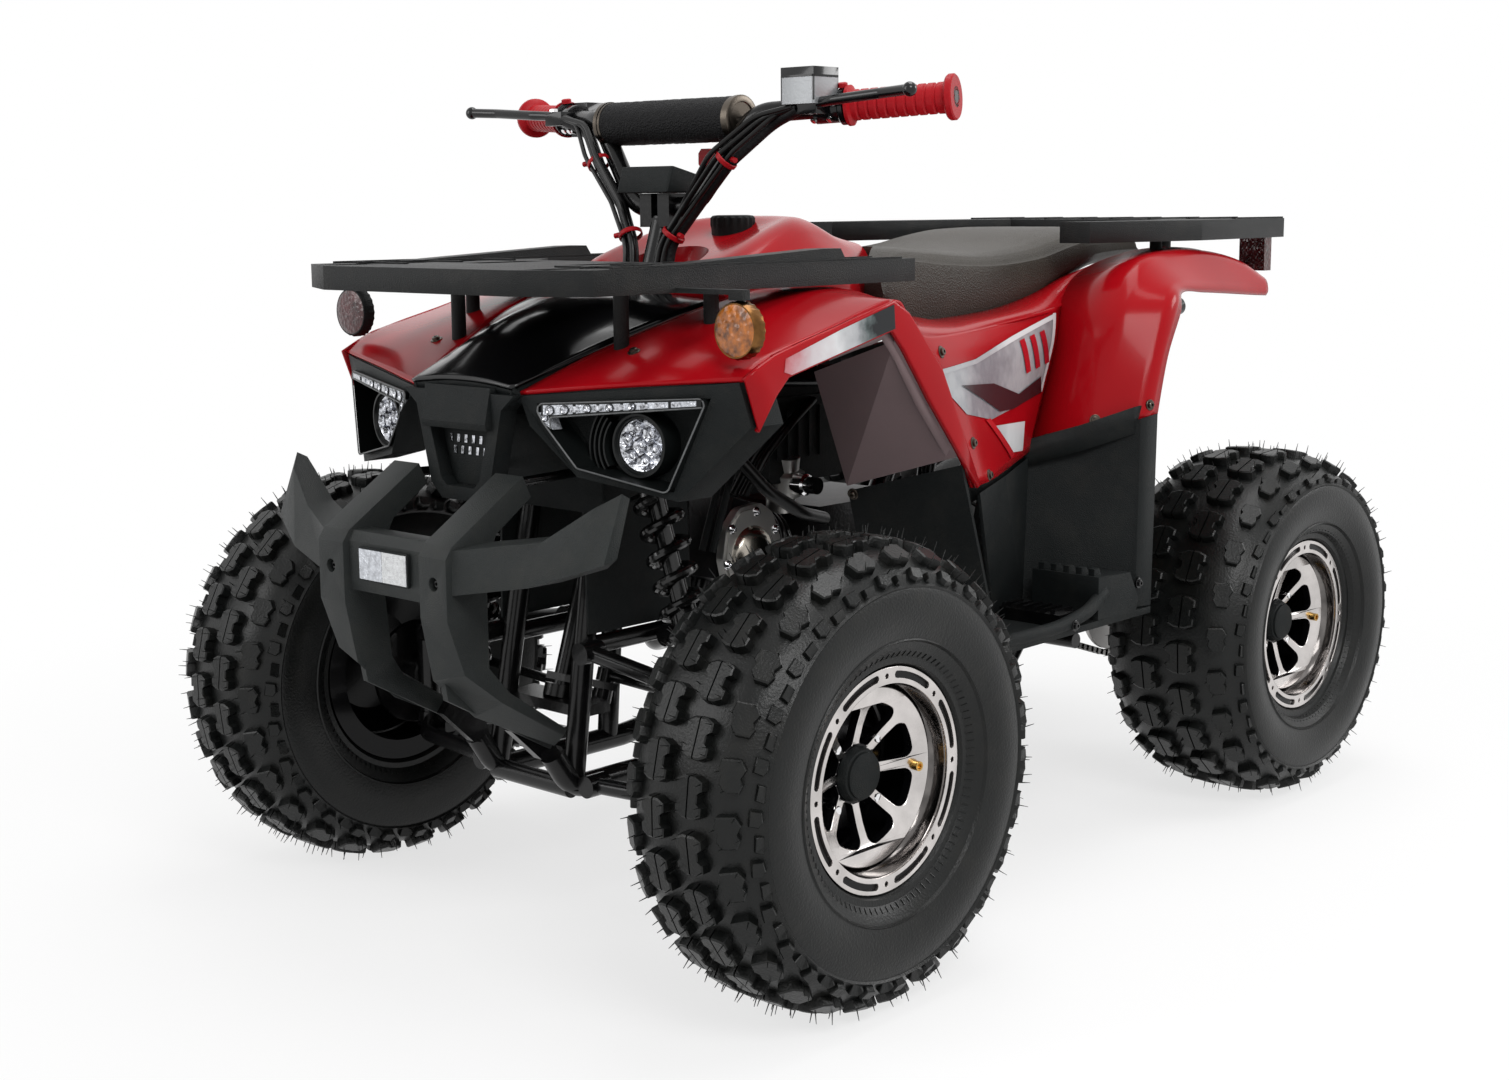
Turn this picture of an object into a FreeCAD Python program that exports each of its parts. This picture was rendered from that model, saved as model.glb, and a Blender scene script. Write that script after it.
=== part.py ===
import FreeCAD, Part
import math
import os

V = FreeCAD.Vector
os.makedirs("parts", exist_ok=True)

# A youth-size quad bike, in millimetres. +X is forward, +Y is the rider's left, +Z is up,
# and the origin lies on the ground under the middle of the machine.

# Wheels and tyres
wheelbase = 960.0
front_axle_x = 450.0
rear_axle_x = front_axle_x - wheelbase
front_half_track = 376.0
rear_half_track = 292.0
front_tyre_r = 236.0
front_tyre_half = 85.0
rear_tyre_r = 231.0
rear_tyre_half = 103.0
lug_height = 13.0
front_lug_count = 24
rear_lug_count = 22
rim_seat_r = 101.0
rim_flange_r = 112.0
rim_wall = 5.0
front_flange_inset = 22.0
rear_flange_inset = 26.0
rim_dish = 43.0
rim_window_count = 8
hub_r = 27.0
cap_r = 21.0

# Running clearances
bearing_gap = 0.08
seat_gap = 0.3
bead_fit = 0.2

# Steering
steering_rake = math.radians(18.0)
clamp_point = V(306.0, 0.0, 786.0)
stem_r = 12.0
stem_length = 545.0
steering_arm = 62.0
kingpin_y = 268.0
kingpin_r = 13.0
lower_ball_z = 182.0
upper_ball_z = 290.0
ball_half = 9.0
spindle_r = 10.0
grip_end_y = 331.0
grip_r = 16.0
bar_r = 11.0

# Chassis tubes
rail_r = 13.0
rail_y = 62.0
rail_z = 172.0

# Rack posts
rack_post_r = 8.0
front_post_spots = [(500.0, 130.0), (430.0, 190.0)]
rear_post_spot = (-397.0, 200.0)

# Front bumper prongs and the tank's underside
prong_in = 62.0
prong_out = 104.0
tank_floor = 650.0

# Overall length: the origin is put midway between the bumper and the rear tyres
bumper_front = 715.0
centring = (rear_tyre_r - rear_axle_x - bumper_front) / 2

# Body panels
skin = 4.0
panel_lip = 6.0


def solid_of(faces):
    """Close a set of faces into one outward solid."""
    shell = Part.makeShell(faces)
    shell.sewShape()
    shape = Part.Solid(shell)
    if shape.Volume < 0:
        shape.reverse()
    return shape


def facet(points):
    """The flat face, or fan of flat triangles, through a ring of points."""
    ring = []
    for point in points:
        if not ring or (point - ring[-1]).Length > 1e-4:
            ring.append(point)
    if (ring[0] - ring[-1]).Length < 1e-4:
        ring.pop()
    if len(ring) < 3:
        return []
    normal = V(0, 0, 0)
    for a, b in zip(ring, ring[1:] + ring[:1]):
        normal += a.cross(b)
    normal.normalize()
    flat = max(abs((point - ring[0]).dot(normal)) for point in ring) < 1e-4
    if flat:
        return [Part.Face(Part.makePolygon(ring + ring[:1]))]
    return [facet([ring[0], a, b])[0] for a, b in zip(ring[1:], ring[2:])]


def loft_rings(rings):
    """A faceted solid through rings that all have the same number of points."""
    faces = facet(rings[0]) + facet(rings[-1])
    for near, far in zip(rings, rings[1:]):
        count = len(near)
        for i in range(count):
            j = (i + 1) % count
            faces += facet([near[i], near[j], far[j], far[i]])
    return solid_of(faces)


def sheet(rows, offset):
    """A moulded panel: a grid of points given thickness by one offset vector, or by one for each row."""
    offsets = offset if isinstance(offset, list) else [offset] * len(rows)
    under = [[point + step for point in row] for row, step in zip(rows, offsets)]
    faces = []
    for grid in (rows, under):
        for a, b in zip(grid, grid[1:]):
            for i in range(len(a) - 1):
                for triangle in ([a[i], a[i + 1], b[i + 1]], [a[i], b[i + 1], b[i]]):
                    if (triangle[1] - triangle[0]).cross(triangle[2] - triangle[0]).Length > 1e-3:
                        faces += facet(triangle)
    rims_above = [rows[0], rows[-1], [row[0] for row in rows], [row[-1] for row in rows]]
    rims_below = [under[0], under[-1], [row[0] for row in under], [row[-1] for row in under]]
    for upper, lower in zip(rims_above, rims_below):
        for i in range(len(upper) - 1):
            faces += facet([upper[i], upper[i + 1], lower[i + 1]])
            faces += facet([upper[i], lower[i + 1], lower[i]])
    return solid_of(faces)


def box(low, high):
    size = high - low
    return Part.makeBox(size.x, size.y, size.z, low)


def rod(start, end, radius):
    return Part.makeCylinder(radius, (end - start).Length, start, end - start)


def plate_xz(points, y_low, y_high):
    """An outline drawn in the side view, extruded across the machine."""
    ring = [V(x, y_low, z) for x, z in points]
    face = Part.Face(Part.makePolygon(ring + ring[:1]))
    return face.extrude(V(0, y_high - y_low, 0))


def plate_xy(points, z_low, z_high):
    """An outline drawn in the plan view, extruded upwards."""
    ring = [V(x, y, z_low) for x, y in points]
    face = Part.Face(Part.makePolygon(ring + ring[:1]))
    return face.extrude(V(0, 0, z_high - z_low))


def other_side(shape):
    """The right-hand twin of a left-hand piece."""
    return shape.mirror(V(0, 0, 0), V(0, 1, 0))


def both_sides(shape):
    return shape.fuse(other_side(shape))


def union(shapes):
    result = shapes[0].multiFuse(shapes[1:]) if len(shapes) > 1 else shapes[0]
    return result.removeSplitter()


def bent_path(points, radius):
    """Straight runs joined by tangent arcs. A radius of None takes the largest smooth arc."""
    edges = []
    start = points[0]
    for before, corner, after in zip(points, points[1:], points[2:]):
        into = (corner - before).normalize()
        out = (after - corner).normalize()
        turn = into.getAngle(out)
        shorter = min((corner - before).Length, (after - corner).Length)
        arc_r = 0.45 * shorter / math.tan(turn / 2)
        if radius is not None:
            arc_r = min(radius, arc_r)
        cut = arc_r * math.tan(turn / 2)
        first = corner - into * cut
        last = corner + out * cut
        inward = (out - into).normalize()
        centre = corner + inward * (arc_r / math.cos(turn / 2))
        middle = centre - inward * arc_r
        edges.append(Part.LineSegment(start, first).toShape())
        edges.append(Part.Arc(first, middle, last).toShape())
        start = last
    edges.append(Part.LineSegment(start, points[-1]).toShape())
    return Part.Wire(edges)


def bent_tube(points, tube_r, radius=None):
    """A round tube or cable along a bent path."""
    path = bent_path(points, radius)
    circle = Part.Circle(points[0], points[1] - points[0], tube_r)
    profile = Part.Wire([circle.toShape()])
    return path.makePipeShell([profile], True, False)


def turned(profile, axis_point, axis):
    """A body of revolution. The profile holds (distance along the axis, radius) pairs."""
    side = V(0, 0, 1) if abs(axis.z) < 0.9 else V(1, 0, 0)
    ring = [axis_point + axis * along + side * r for along, r in profile]
    face = Part.Face(Part.makePolygon(ring + ring[:1]))
    return face.revolve(axis_point, axis, 360)


def export(name, shape):
    placed = shape.copy()
    placed.translate(V(centring, 0, 0))
    placed.exportStep("parts/" + name + ".step")


# Wheels

def tyre(centre, outer_r, half, inset, lug_count):
    """A knobbly tyre: a turned carcass carrying two staggered centre rows and two shoulder rows of lugs."""
    tread_r = outer_r - lug_height
    flange = half - inset
    outer_half = [
        (half * 0.72, tread_r - 3), (half - 4, outer_r * 0.85), (half, outer_r * 0.68),
        (flange + 3, rim_flange_r + 4), (flange - rim_wall - bead_fit, rim_flange_r + bead_fit),
        (flange - rim_wall - 4 - bead_fit, rim_seat_r + bead_fit)]
    profile = [(-y, r) for y, r in reversed(outer_half)] + [(0, tread_r)] + outer_half
    carcass = turned(profile, centre, V(0, 1, 0))
    pitch = 2 * math.pi * tread_r / lug_count
    root = tread_r - 9
    lobe = pitch * 0.34
    waisted = [(-lobe, -0.17), (0, -0.12), (lobe, -0.17), (lobe, 0.17), (0, 0.12), (-lobe, 0.17)]
    worn_round = rod(V(0, -half, 0), V(0, half, 0), outer_r)
    lugs = []
    for i in range(2 * lug_count):
        side = 1 if i % 2 else -1
        block = plate_xy([(x, half * (y + 0.25 * side)) for x, y in waisted], root, outer_r + 1)
        block = block.common(worn_round)
        low, high = pitch * 0.33, pitch * 0.25
        knob = loft_rings([
            [V(-low, side * half * 0.54, root), V(low, side * half * 0.54, root),
             V(low, side * half * 0.9, root - 14), V(-low, side * half * 0.9, root - 14)],
            [V(-high, side * half * 0.57, outer_r - 3), V(high, side * half * 0.57, outer_r - 3),
             V(high, side * half * 0.92, outer_r - 14), V(-high, side * half * 0.92, outer_r - 14)]])
        block.rotate(V(0, 0, 0), V(0, 1, 0), i * 180.0 / lug_count)
        knob.rotate(V(0, 0, 0), V(0, 1, 0), (i + 1) * 180.0 / lug_count)
        lugs += [block, knob]
    for lug in lugs:
        lug.translate(centre)
    return union([carcass] + lugs)


def rim(centre, half, inset, bore_r, hub_inner):
    """A pressed rim. The dished face looks along +Y and has petal windows."""
    face_y = half - inset
    hub_y = face_y - rim_dish
    wall_r = rim_seat_r - rim_wall
    profile = [
        (-face_y, wall_r), (-face_y, rim_flange_r), (-face_y + rim_wall, rim_flange_r),
        (-face_y + rim_wall + 4, rim_seat_r), (face_y - rim_wall - 4, rim_seat_r),
        (face_y - rim_wall, rim_flange_r), (face_y, rim_flange_r), (face_y, 98), (face_y - 9, 84),
        (hub_y, 46), (hub_y, hub_r), (hub_y + 10, hub_r), (hub_y + 14, cap_r), (hub_y + 22, cap_r - 3),
        (hub_y + 22, 0), (hub_y + 6, 0), (hub_y + 6, bore_r), (hub_inner, bore_r), (hub_inner, hub_r),
        (hub_y - rim_wall, hub_r), (hub_y - rim_wall, 46), (face_y - 18, 84), (face_y - 18, wall_r)]
    wheel = turned(profile, centre, V(0, 1, 0))
    windows = []
    for i in range(rim_window_count):
        outline = [(-9, 48), (9, 48), (19, 60), (24, 76), (17, 83), (-17, 83), (-24, 76), (-19, 60)]
        ring = [centre + V(x, hub_y - 10, z) for x, z in outline]
        window = Part.Face(Part.makePolygon(ring + ring[:1])).extrude(V(0, rim_dish + 20, 0))
        window.rotate(centre, V(0, 1, 0), (i + 0.5) * 360.0 / rim_window_count)
        windows.append(window)
    return wheel.cut(Part.makeCompound(windows))


front_hub = V(front_axle_x, front_half_track, front_tyre_r)
rear_hub = V(rear_axle_x, rear_half_track, rear_tyre_r)
front_hub_inner = 300.0 - front_half_track
front_tyre = tyre(front_hub, front_tyre_r, front_tyre_half, front_flange_inset, front_lug_count)
rear_tyre = tyre(rear_hub, rear_tyre_r, rear_tyre_half, rear_flange_inset, rear_lug_count)
front_rim = rim(front_hub, front_tyre_half, front_flange_inset, spindle_r + bearing_gap, front_hub_inner)
axle_r = 14.0
rear_hub_inner = rear_tyre_half - rear_flange_inset - rim_dish - 40
rear_rim = rim(rear_hub, rear_tyre_half, rear_flange_inset, axle_r, rear_hub_inner)
export("tyre_front_left", front_tyre)
export("tyre_front_right", other_side(front_tyre))
export("tyre_rear_left", rear_tyre)
export("tyre_rear_right", other_side(rear_tyre))
export("rim_front_left", front_rim)
export("rim_front_right", other_side(front_rim))
export("rim_rear_left", rear_rim)
export("rim_rear_right", other_side(rear_rim))

# Rear axle with its sprocket and brake disc
sprocket_y = 72.0
sprocket_r = 74.0
disc_y = -88.0
axle_centre = V(rear_axle_x, 0, rear_tyre_r)
axle_end = rear_half_track + rear_tyre_half - rear_flange_inset - rim_dish + 5
rear_axle = union([
    rod(axle_centre - V(0, axle_end, 0), axle_centre + V(0, axle_end, 0), axle_r),
    rod(axle_centre + V(0, sprocket_y - 3, 0), axle_centre + V(0, sprocket_y + 3, 0), sprocket_r),
    rod(axle_centre + V(0, sprocket_y - 16, 0), axle_centre + V(0, sprocket_y + 3, 0), 32),
    rod(axle_centre + V(0, disc_y - 2, 0), axle_centre + V(0, disc_y + 2, 0), 85),
    rod(axle_centre + V(0, disc_y - 3, 0), axle_centre + V(0, disc_y + 18, 0), 32)])
export("rear_axle", rear_axle)

# Knuckles
kingpin = V(front_axle_x, kingpin_y, front_tyre_r)


def knuckle():
    """The upright between the two ball joints, with its spindle, back plate and steering arm."""
    low = V(kingpin.x, kingpin.y, lower_ball_z + ball_half + seat_gap)
    high = V(kingpin.x, kingpin.y, upper_ball_z - ball_half - seat_gap)
    upright = rod(low, high, kingpin_r)
    tip = front_half_track + front_tyre_half - front_flange_inset - rim_dish + 4
    spindle = rod(kingpin, V(kingpin.x, tip, kingpin.z), spindle_r)
    boss = rod(kingpin, V(kingpin.x, 288, kingpin.z), 22)
    back_plate = rod(V(kingpin.x, 288, kingpin.z), V(kingpin.x, 294, kingpin.z), 62)
    arm = plate_xy([(kingpin.x, kingpin.y - 11), (kingpin.x, kingpin.y + 11),
                    (kingpin.x - steering_arm - 9, kingpin.y + 9),
                    (kingpin.x - steering_arm - 9, kingpin.y - 9)], 226, 238)
    stud = rod(V(kingpin.x - steering_arm, kingpin.y, 238), V(kingpin.x - steering_arm, kingpin.y, 254), 4)
    return union([upright, spindle, boss, back_plate, arm, stud])


knuckle_left = knuckle()
export("knuckle_left", knuckle_left)
export("knuckle_right", other_side(knuckle_left))

# Steering stem with its drop arm
stem_axis = V(-math.sin(steering_rake), 0, math.cos(steering_rake))
arm_direction = V(-math.cos(steering_rake), 0, -math.sin(steering_rake))
stem_foot = clamp_point - stem_axis * stem_length
drop_eye = stem_foot + stem_axis * 8 + arm_direction * steering_arm


def on_stem(along, back, across):
    return stem_foot + stem_axis * along + arm_direction * back + V(0, across, 0)


def steering_stem():
    tube = rod(stem_foot, clamp_point - stem_axis * (bar_r + 3), stem_r)
    arm = loft_rings([
        [on_stem(4, -14, -15), on_stem(4, -14, 15), on_stem(12, -14, 15), on_stem(12, -14, -15)],
        [on_stem(4, steering_arm + 11, -10), on_stem(4, steering_arm + 11, 10),
         on_stem(12, steering_arm + 11, 10), on_stem(12, steering_arm + 11, -10)]])
    saddle = box(clamp_point - V(17, 23, 22), clamp_point + V(17, 23, -bar_r - 1))
    caps = []
    for y in (-14, 14):
        caps.append(box(clamp_point + V(-17, y - 9, -bar_r - 2), clamp_point + V(17, y + 9, bar_r + 4)))
    bar_bore = rod(clamp_point - V(0, 60, 0), clamp_point + V(0, 60, 0), bar_r + bearing_gap)
    return union([tube, arm, saddle] + caps).cut(bar_bore)


export("steering_stem", steering_stem())


eye_half = 7.5


def tie_rod(level, eye_z):
    """The left-hand rod, from its eye on the drop arm to its eye at the knuckle."""
    inner = drop_eye + stem_axis * level
    outer = V(kingpin.x - steering_arm, kingpin.y, eye_z)
    inner_eye = rod(inner - stem_axis * eye_half, inner + stem_axis * eye_half, 11)
    outer_eye = rod(outer - V(0, 0, 5), outer + V(0, 0, 5), 12)
    hole = rod(outer - V(0, 0, 6), outer + V(0, 0, 6), 8.5)
    along = (outer - inner).normalize()
    shaft = rod(inner, outer - along * 11, 5.5)
    return union([inner_eye, shaft, outer_eye]).cut(hole)


export("tie_rod_left", tie_rod(4 + eye_half + seat_gap, 248))
export("tie_rod_right", other_side(tie_rod(-4 - eye_half - seat_gap, 248)))

# Handlebar
bar_bend = V(288, 122, 885)
grip_end = V(206, grip_end_y, 897)
bar_path = [V(clamp_point.x, 0, clamp_point.z), V(clamp_point.x, 46, clamp_point.z), bar_bend, grip_end]
bar_left = bent_tube(bar_path, bar_r, 45)
cross_bar = rod(V(291, -112, 876), V(291, 112, 876), 7)
export("handlebar", union([bar_left, other_side(bar_left), cross_bar]))
pad = rod(V(291, -104, 880), V(291, 104, 880), 25)
pad_core = union([cross_bar, bar_left, other_side(bar_left)])
export("bar_pad", pad.cut(pad_core))

bar_run = (grip_end - bar_bend).normalize()
grip_start = grip_end - bar_run * 118
bar_bore = rod(grip_end - bar_run * 150, grip_end + bar_run * 5, bar_r)
grip = union([rod(grip_start, grip_end, grip_r), rod(grip_start, grip_start + bar_run * 5, 21)])
grip = grip.cut(rod(grip_start - bar_run, grip_end - bar_run * 3, bar_r))
bar_left_cut = rod(grip_end - bar_run * 3, grip_end + bar_run * 10, bar_r)
export("grips", both_sides(grip.cut(bar_left_cut)))

# Brake levers, the left one with its fluid reservoir, the right one with the throttle
perch_at = grip_start - bar_run * 22


def perch():
    return rod(perch_at - bar_run * 14, perch_at + bar_run * 14, 17)


def lever():
    pivot = perch_at + V(28, 0, 3)
    tip = V(298, 342, 901)
    knee = pivot + V(8, 34, 2)
    blade = bent_tube([pivot, knee, V(292, 300, 899), tip], 5.5, 30)
    ball = Part.makeSphere(7.5, tip)
    block = box(V(perch_at.x, perch_at.y - 16, perch_at.z - 8),
                V(pivot.x + 8, perch_at.y + 12, perch_at.z + 8))
    return [block, blade, ball]


bar_hole = rod(perch_at - bar_run * 40, perch_at + bar_run * 30, bar_r)
reservoir = box(V(perch_at.x + 4, perch_at.y - 30, perch_at.z + 6), V(perch_at.x + 44, perch_at.y + 16, 930))
left_control = union([perch()] + lever() + [reservoir]).cut(bar_hole)
throttle = box(V(perch_at.x - 32, perch_at.y - 18, perch_at.z - 20),
               V(perch_at.x - 4, perch_at.y + 10, perch_at.z + 20))
right_control = other_side(union([perch()] + lever() + [throttle]).cut(bar_hole))
export("hand_controls", Part.makeCompound([left_control, right_control]))

# Instrument cover on the stem clamp
cover = loft_rings([
    [V(262, -36, 801.4), V(262, 36, 801.4), V(344, 40, 801.4), V(344, -40, 801.4)],
    [V(266, -36, 816), V(266, 36, 816), V(334, 41, 831), V(334, -41, 831)]])
export("instrument_cover", cover)

# Control cables from both levers down to the stem
cable_r = 3.5


def cable(side):
    points = [perch_at + V(34, -17.2, 0), perch_at + V(40, -60, -10), V(322, 96, 840), V(326, 52, 790),
              V(336, 22, 745), V(343, 16, 700)]
    return bent_tube([V(p.x, side * p.y, p.z) for p in points], cable_r)


export("control_cables", Part.makeCompound([cable(1), cable(-1)]))

# Chassis
shock_top = V(448, 112, 518)
pivot_at = V(-268, 0, 285)
pivot_r = 16.0
rear_rail_y = 105.0
lower_rail = [V(548, rail_y, 215), V(520, rail_y, rail_z), V(330, rail_y, rail_z),
              V(120, rear_rail_y, rail_z), V(-190, rear_rail_y, rail_z), V(-270, rear_rail_y, 260),
              V(-330, 94, 602)]
upper_rail = [V(474, 48, 559), V(330, 48, 600), V(120, 85, 590), V(-120, 95, 585), V(-640, 88, 640)]
front_post = [V(519, rail_y, rail_z - 2), V(498, 58, 300), V(452, 49, 562)]
strut = [V(-250, rear_rail_y, 210), V(-520, 90, 620)]


def cross(x, z, half, radius=11.0):
    return rod(V(x, -half, z), V(x, half, z), radius)


rear_post = [V(352, rail_y, rail_z - 1), V(346, 56, 322), V(342, 49, 596)]
arm_tube = [V(496, 59, 322), V(344, 58, 323)]
frame_side = [bent_tube(lower_rail, rail_r, 45), bent_tube(upper_rail, rail_r, 60),
              bent_tube(front_post, 12, 60), bent_tube(rear_post, 12, 80),
              rod(arm_tube[0], arm_tube[1], 10), rod(strut[0], strut[1], 10)]
frame_bits = frame_side + [other_side(piece) for piece in frame_side]
shock_tube_r = 10.0
frame_bits += [cross(shock_top.x, shock_top.z + 12 + seat_gap + shock_tube_r, 126, shock_tube_r)]
frame_bits += [cross(520, rail_z, rail_y), cross(-190, rail_z, rear_rail_y), cross(100, rail_z, rear_rail_y),
               cross(462, 562, 48), cross(-330, 600, 92), cross(-620, 638, 88),
               cross(pivot_at.x, pivot_at.z, rear_rail_y, pivot_r)]
foot_block = rod(stem_foot - stem_axis * 14, stem_foot - stem_axis * seat_gap, 20)
foot_bracket = box(V(stem_foot.x - 12, -rail_y, stem_foot.z - 22),
                   V(stem_foot.x + 30, rail_y, stem_foot.z - 10))
collar_at = stem_foot + stem_axis * 309
collar = rod(collar_at - stem_axis * 12, collar_at + stem_axis * 12, 20)
collar = collar.cut(rod(collar_at - stem_axis * 20, collar_at + stem_axis * 20, stem_r + seat_gap))
collar_arm = box(V(collar_at.x + 17, -14, collar_at.z - 8), V(460, 14, collar_at.z + 8))
frame_bits += [foot_block, foot_bracket, collar_arm]
bumper_lug = plate_xz([(536, 205), (562, 212), (602, 250), (592, 262), (545, 236)], 50, prong_in - seat_gap)
bumper_stay = rod(V(462, 51, 511), V(605.3, 76, 511), 5)
seat_post = rod(V(-100, 94.5, 583), V(-100, 94.5, 645), 8)
tank_post = rod(V(150, 80, 590), V(150, 80, tank_floor - seat_gap), 8)
for piece in (bumper_lug, bumper_stay, seat_post, tank_post):
    frame_bits += [piece, other_side(piece)]
frame = union(frame_bits).fuse(collar)
export("frame", frame)

# Engine with its forward-leaning finned cylinder
engine_tilt = math.radians(20)
crank = V(60, 0, 335)
case_left = 58.0
bore_line = V(math.cos(engine_tilt), 0, math.sin(engine_tilt))


def engine():
    case = plate_xz([(-188, 262), (-90, 215), (110, 215), (165, 260), (165, 380), (110, 430), (-70, 430),
                     (-120, 370), (-188, 318)], -80, case_left)
    left_cover = rod(V(70, case_left - 4, 325), V(70, 94, 325), 72)
    right_cover = rod(V(60, -112, 330), V(60, -70, 330), 80)
    along = bore_line
    barrel = rod(crank + along * 60, crank + along * 190, 42)
    bits = [case, left_cover, right_cover, barrel]
    for i in range(6):
        base = crank + along * (108 + i * 10)
        bits.append(rod(base, base + along * 4, 58))
    head_low = crank + along * 162
    head = box(V(0, -52, -48), V(62, 52, 48))
    head.rotate(V(0, 0, 0), V(0, 1, 0), -math.degrees(engine_tilt))
    head.translate(head_low)
    bits.append(head)
    cap_centre = crank + along * 190
    bits.append(rod(cap_centre + V(0, 40, 0), cap_centre + V(0, 66, 0), 34))
    return union(bits)


export("engine", engine())

# Exhaust
under_head = V(math.sin(engine_tilt), 0, -math.cos(engine_tilt))
port = crank + bore_line * 193 + under_head * (48 + seat_gap)
pipe = [port, port + under_head * 38, V(244, -96, 268), V(150, -134, 258), V(-60, -134, 258),
        V(-200, -136, 330), V(-292, -150, 462)]
muffler_r = 34.0
muffler = union([bent_tube(pipe, 15, 45), rod(V(-286, -151, 470), V(-560, -152, 520), muffler_r),
                 rod(V(-558, -152, 520), V(-596, -152, 527), 14)])
export("exhaust", muffler)

# Swing arm carrying the rear axle in a bored tube
carrier_half = sprocket_y - 16 - seat_gap
carrier = rod(axle_centre - V(0, carrier_half, 0), axle_centre + V(0, carrier_half, 0), 34)
carrier = carrier.cut(rod(axle_centre - V(0, 80, 0), axle_centre + V(0, 80, 0), axle_r + bearing_gap))
swing_side = loft_rings([
    [V(-246, 34, 305), V(-246, 50, 305), V(-246, 50, 265), V(-246, 34, 265)],
    [V(rear_axle_x + 26, y, rear_tyre_r + z) for y, z in ((34, 19), (50, 19), (50, -19), (34, -19))]])
rear_shock_z = 286.0
bridge = box(V(-345, -40, 244), V(-315, 40, rear_shock_z - 12 - seat_gap))
swing_arm = union([carrier, swing_side, other_side(swing_side), bridge])
swing_arm = swing_arm.cut(rod(pivot_at - V(0, 80, 0), pivot_at + V(0, 80, 0), pivot_r + bearing_gap))
export("swing_arm", swing_arm)

# Drive chain, a fixed closed loop round both sprockets
front_sprocket = V(-158, sprocket_y, 290)


def chain_loop(centre_a, radius_a, centre_b, radius_b, y_low, y_high):
    """The outline of a belt round two circles, as arcs and tangent lines."""
    delta = centre_b - centre_a
    length = math.hypot(delta.x, delta.z)
    heading = math.atan2(delta.z, delta.x)
    spread = math.acos((radius_a - radius_b) / length)

    def rim_point(centre, radius, angle):
        return V(centre.x + radius * math.cos(angle), y_low, centre.z + radius * math.sin(angle))
    up_a = rim_point(centre_a, radius_a, heading + spread)
    up_b = rim_point(centre_b, radius_b, heading + spread)
    low_a = rim_point(centre_a, radius_a, heading - spread)
    low_b = rim_point(centre_b, radius_b, heading - spread)
    far_b = rim_point(centre_b, radius_b, heading)
    far_a = rim_point(centre_a, radius_a, heading + math.pi)
    edges = [Part.LineSegment(up_a, up_b).toShape(), Part.Arc(up_b, far_b, low_b).toShape(),
             Part.LineSegment(low_b, low_a).toShape(), Part.Arc(low_a, far_a, up_a).toShape()]
    return Part.Face(Part.Wire(edges)).extrude(V(0, y_high - y_low, 0))


rear_sprocket = V(rear_axle_x, 0, rear_tyre_r)
chain = chain_loop(rear_sprocket, sprocket_r + 11, front_sprocket, 32, sprocket_y - 6, sprocket_y + 6)
chain = chain.cut(chain_loop(rear_sprocket, sprocket_r + 1, front_sprocket, 22,
                             sprocket_y - 7, sprocket_y + 7))
gear = rod(V(front_sprocket.x, case_left + seat_gap, front_sprocket.z), front_sprocket + V(0, 4, 0), 22)
export("drive_chain", union([chain, gear]))


# Suspension arms and shock absorbers
shock_low = V(448, 216, 203)
arm_eye_r = 12.0
spring_turns = 7


def arm_pair():
    """Two wide arms of bent tube that end in ball joints, with the shock absorber between them."""
    pieces = []
    for ball_z, inner_y, inner_z in ((lower_ball_z, rail_y + rail_r + arm_eye_r + seat_gap, rail_z + 6),
                                     (upper_ball_z, 82.6, 322)):
        ball = V(kingpin.x, kingpin.y, ball_z)
        pieces.append(rod(ball - V(0, 0, ball_half), ball + V(0, 0, ball_half), 15))
        for inner_x in (385, 510):
            inner = V(inner_x, inner_y, inner_z)
            elbow = V(kingpin.x + (inner_x - kingpin.x) * 0.8, 214, ball_z + (inner_z - ball_z) * 0.3)
            pieces.append(rod(inner - V(14, 0, 0), inner + V(14, 0, 0), arm_eye_r))
            pieces.append(bent_tube([inner, elbow, V(kingpin.x, kingpin.y - 4, ball_z)], 9, 30))
    lower_plate = plate_xy([(420, 205), (478, 205), (466, 252), (434, 252)], lower_ball_z - 4,
                           shock_low.z - 12 - seat_gap)
    pieces.append(lower_plate)
    return union(pieces)


arms = arm_pair()
export("suspension_arms", Part.makeCompound([arms, other_side(arms)]))


def shock(low, high, spring_r):
    """A coil-over damper: body, rod, turned spring and two eyes."""
    along = (high - low).normalize()
    length = (high - low).Length
    body = rod(low + along * 6, low + along * length * 0.55, 11)
    piston = rod(low + along * length * 0.5, high - along * 6, 7)
    coil_length = length - 66
    pitch = coil_length / spring_turns
    profile = [(30, 0), (30, spring_r + 2), (36, spring_r + 2)]
    for i in range(spring_turns):
        at = 36 + pitch * (i + 0.5)
        profile += [(at - 5, spring_r - 6), (at - 3, spring_r), (at + 3, spring_r), (at + 5, spring_r - 6)]
    profile += [(length - 30, spring_r + 2), (length - 24, spring_r + 2), (length - 24, 0)]
    spring = turned(profile, low, along)
    eyes = [rod(low - V(12, 0, 0), low + V(12, 0, 0), 12), rod(high - V(12, 0, 0), high + V(12, 0, 0), 12)]
    return union([body, piston, spring] + eyes)


front_shock = shock(shock_low, shock_top, 25)
rear_shock = shock(V(-330, 0, rear_shock_z), V(-330, 0, 600 - 11 - 12 - seat_gap), 27)
export("shock_absorbers", Part.makeCompound([front_shock, other_side(front_shock), rear_shock]))

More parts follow.
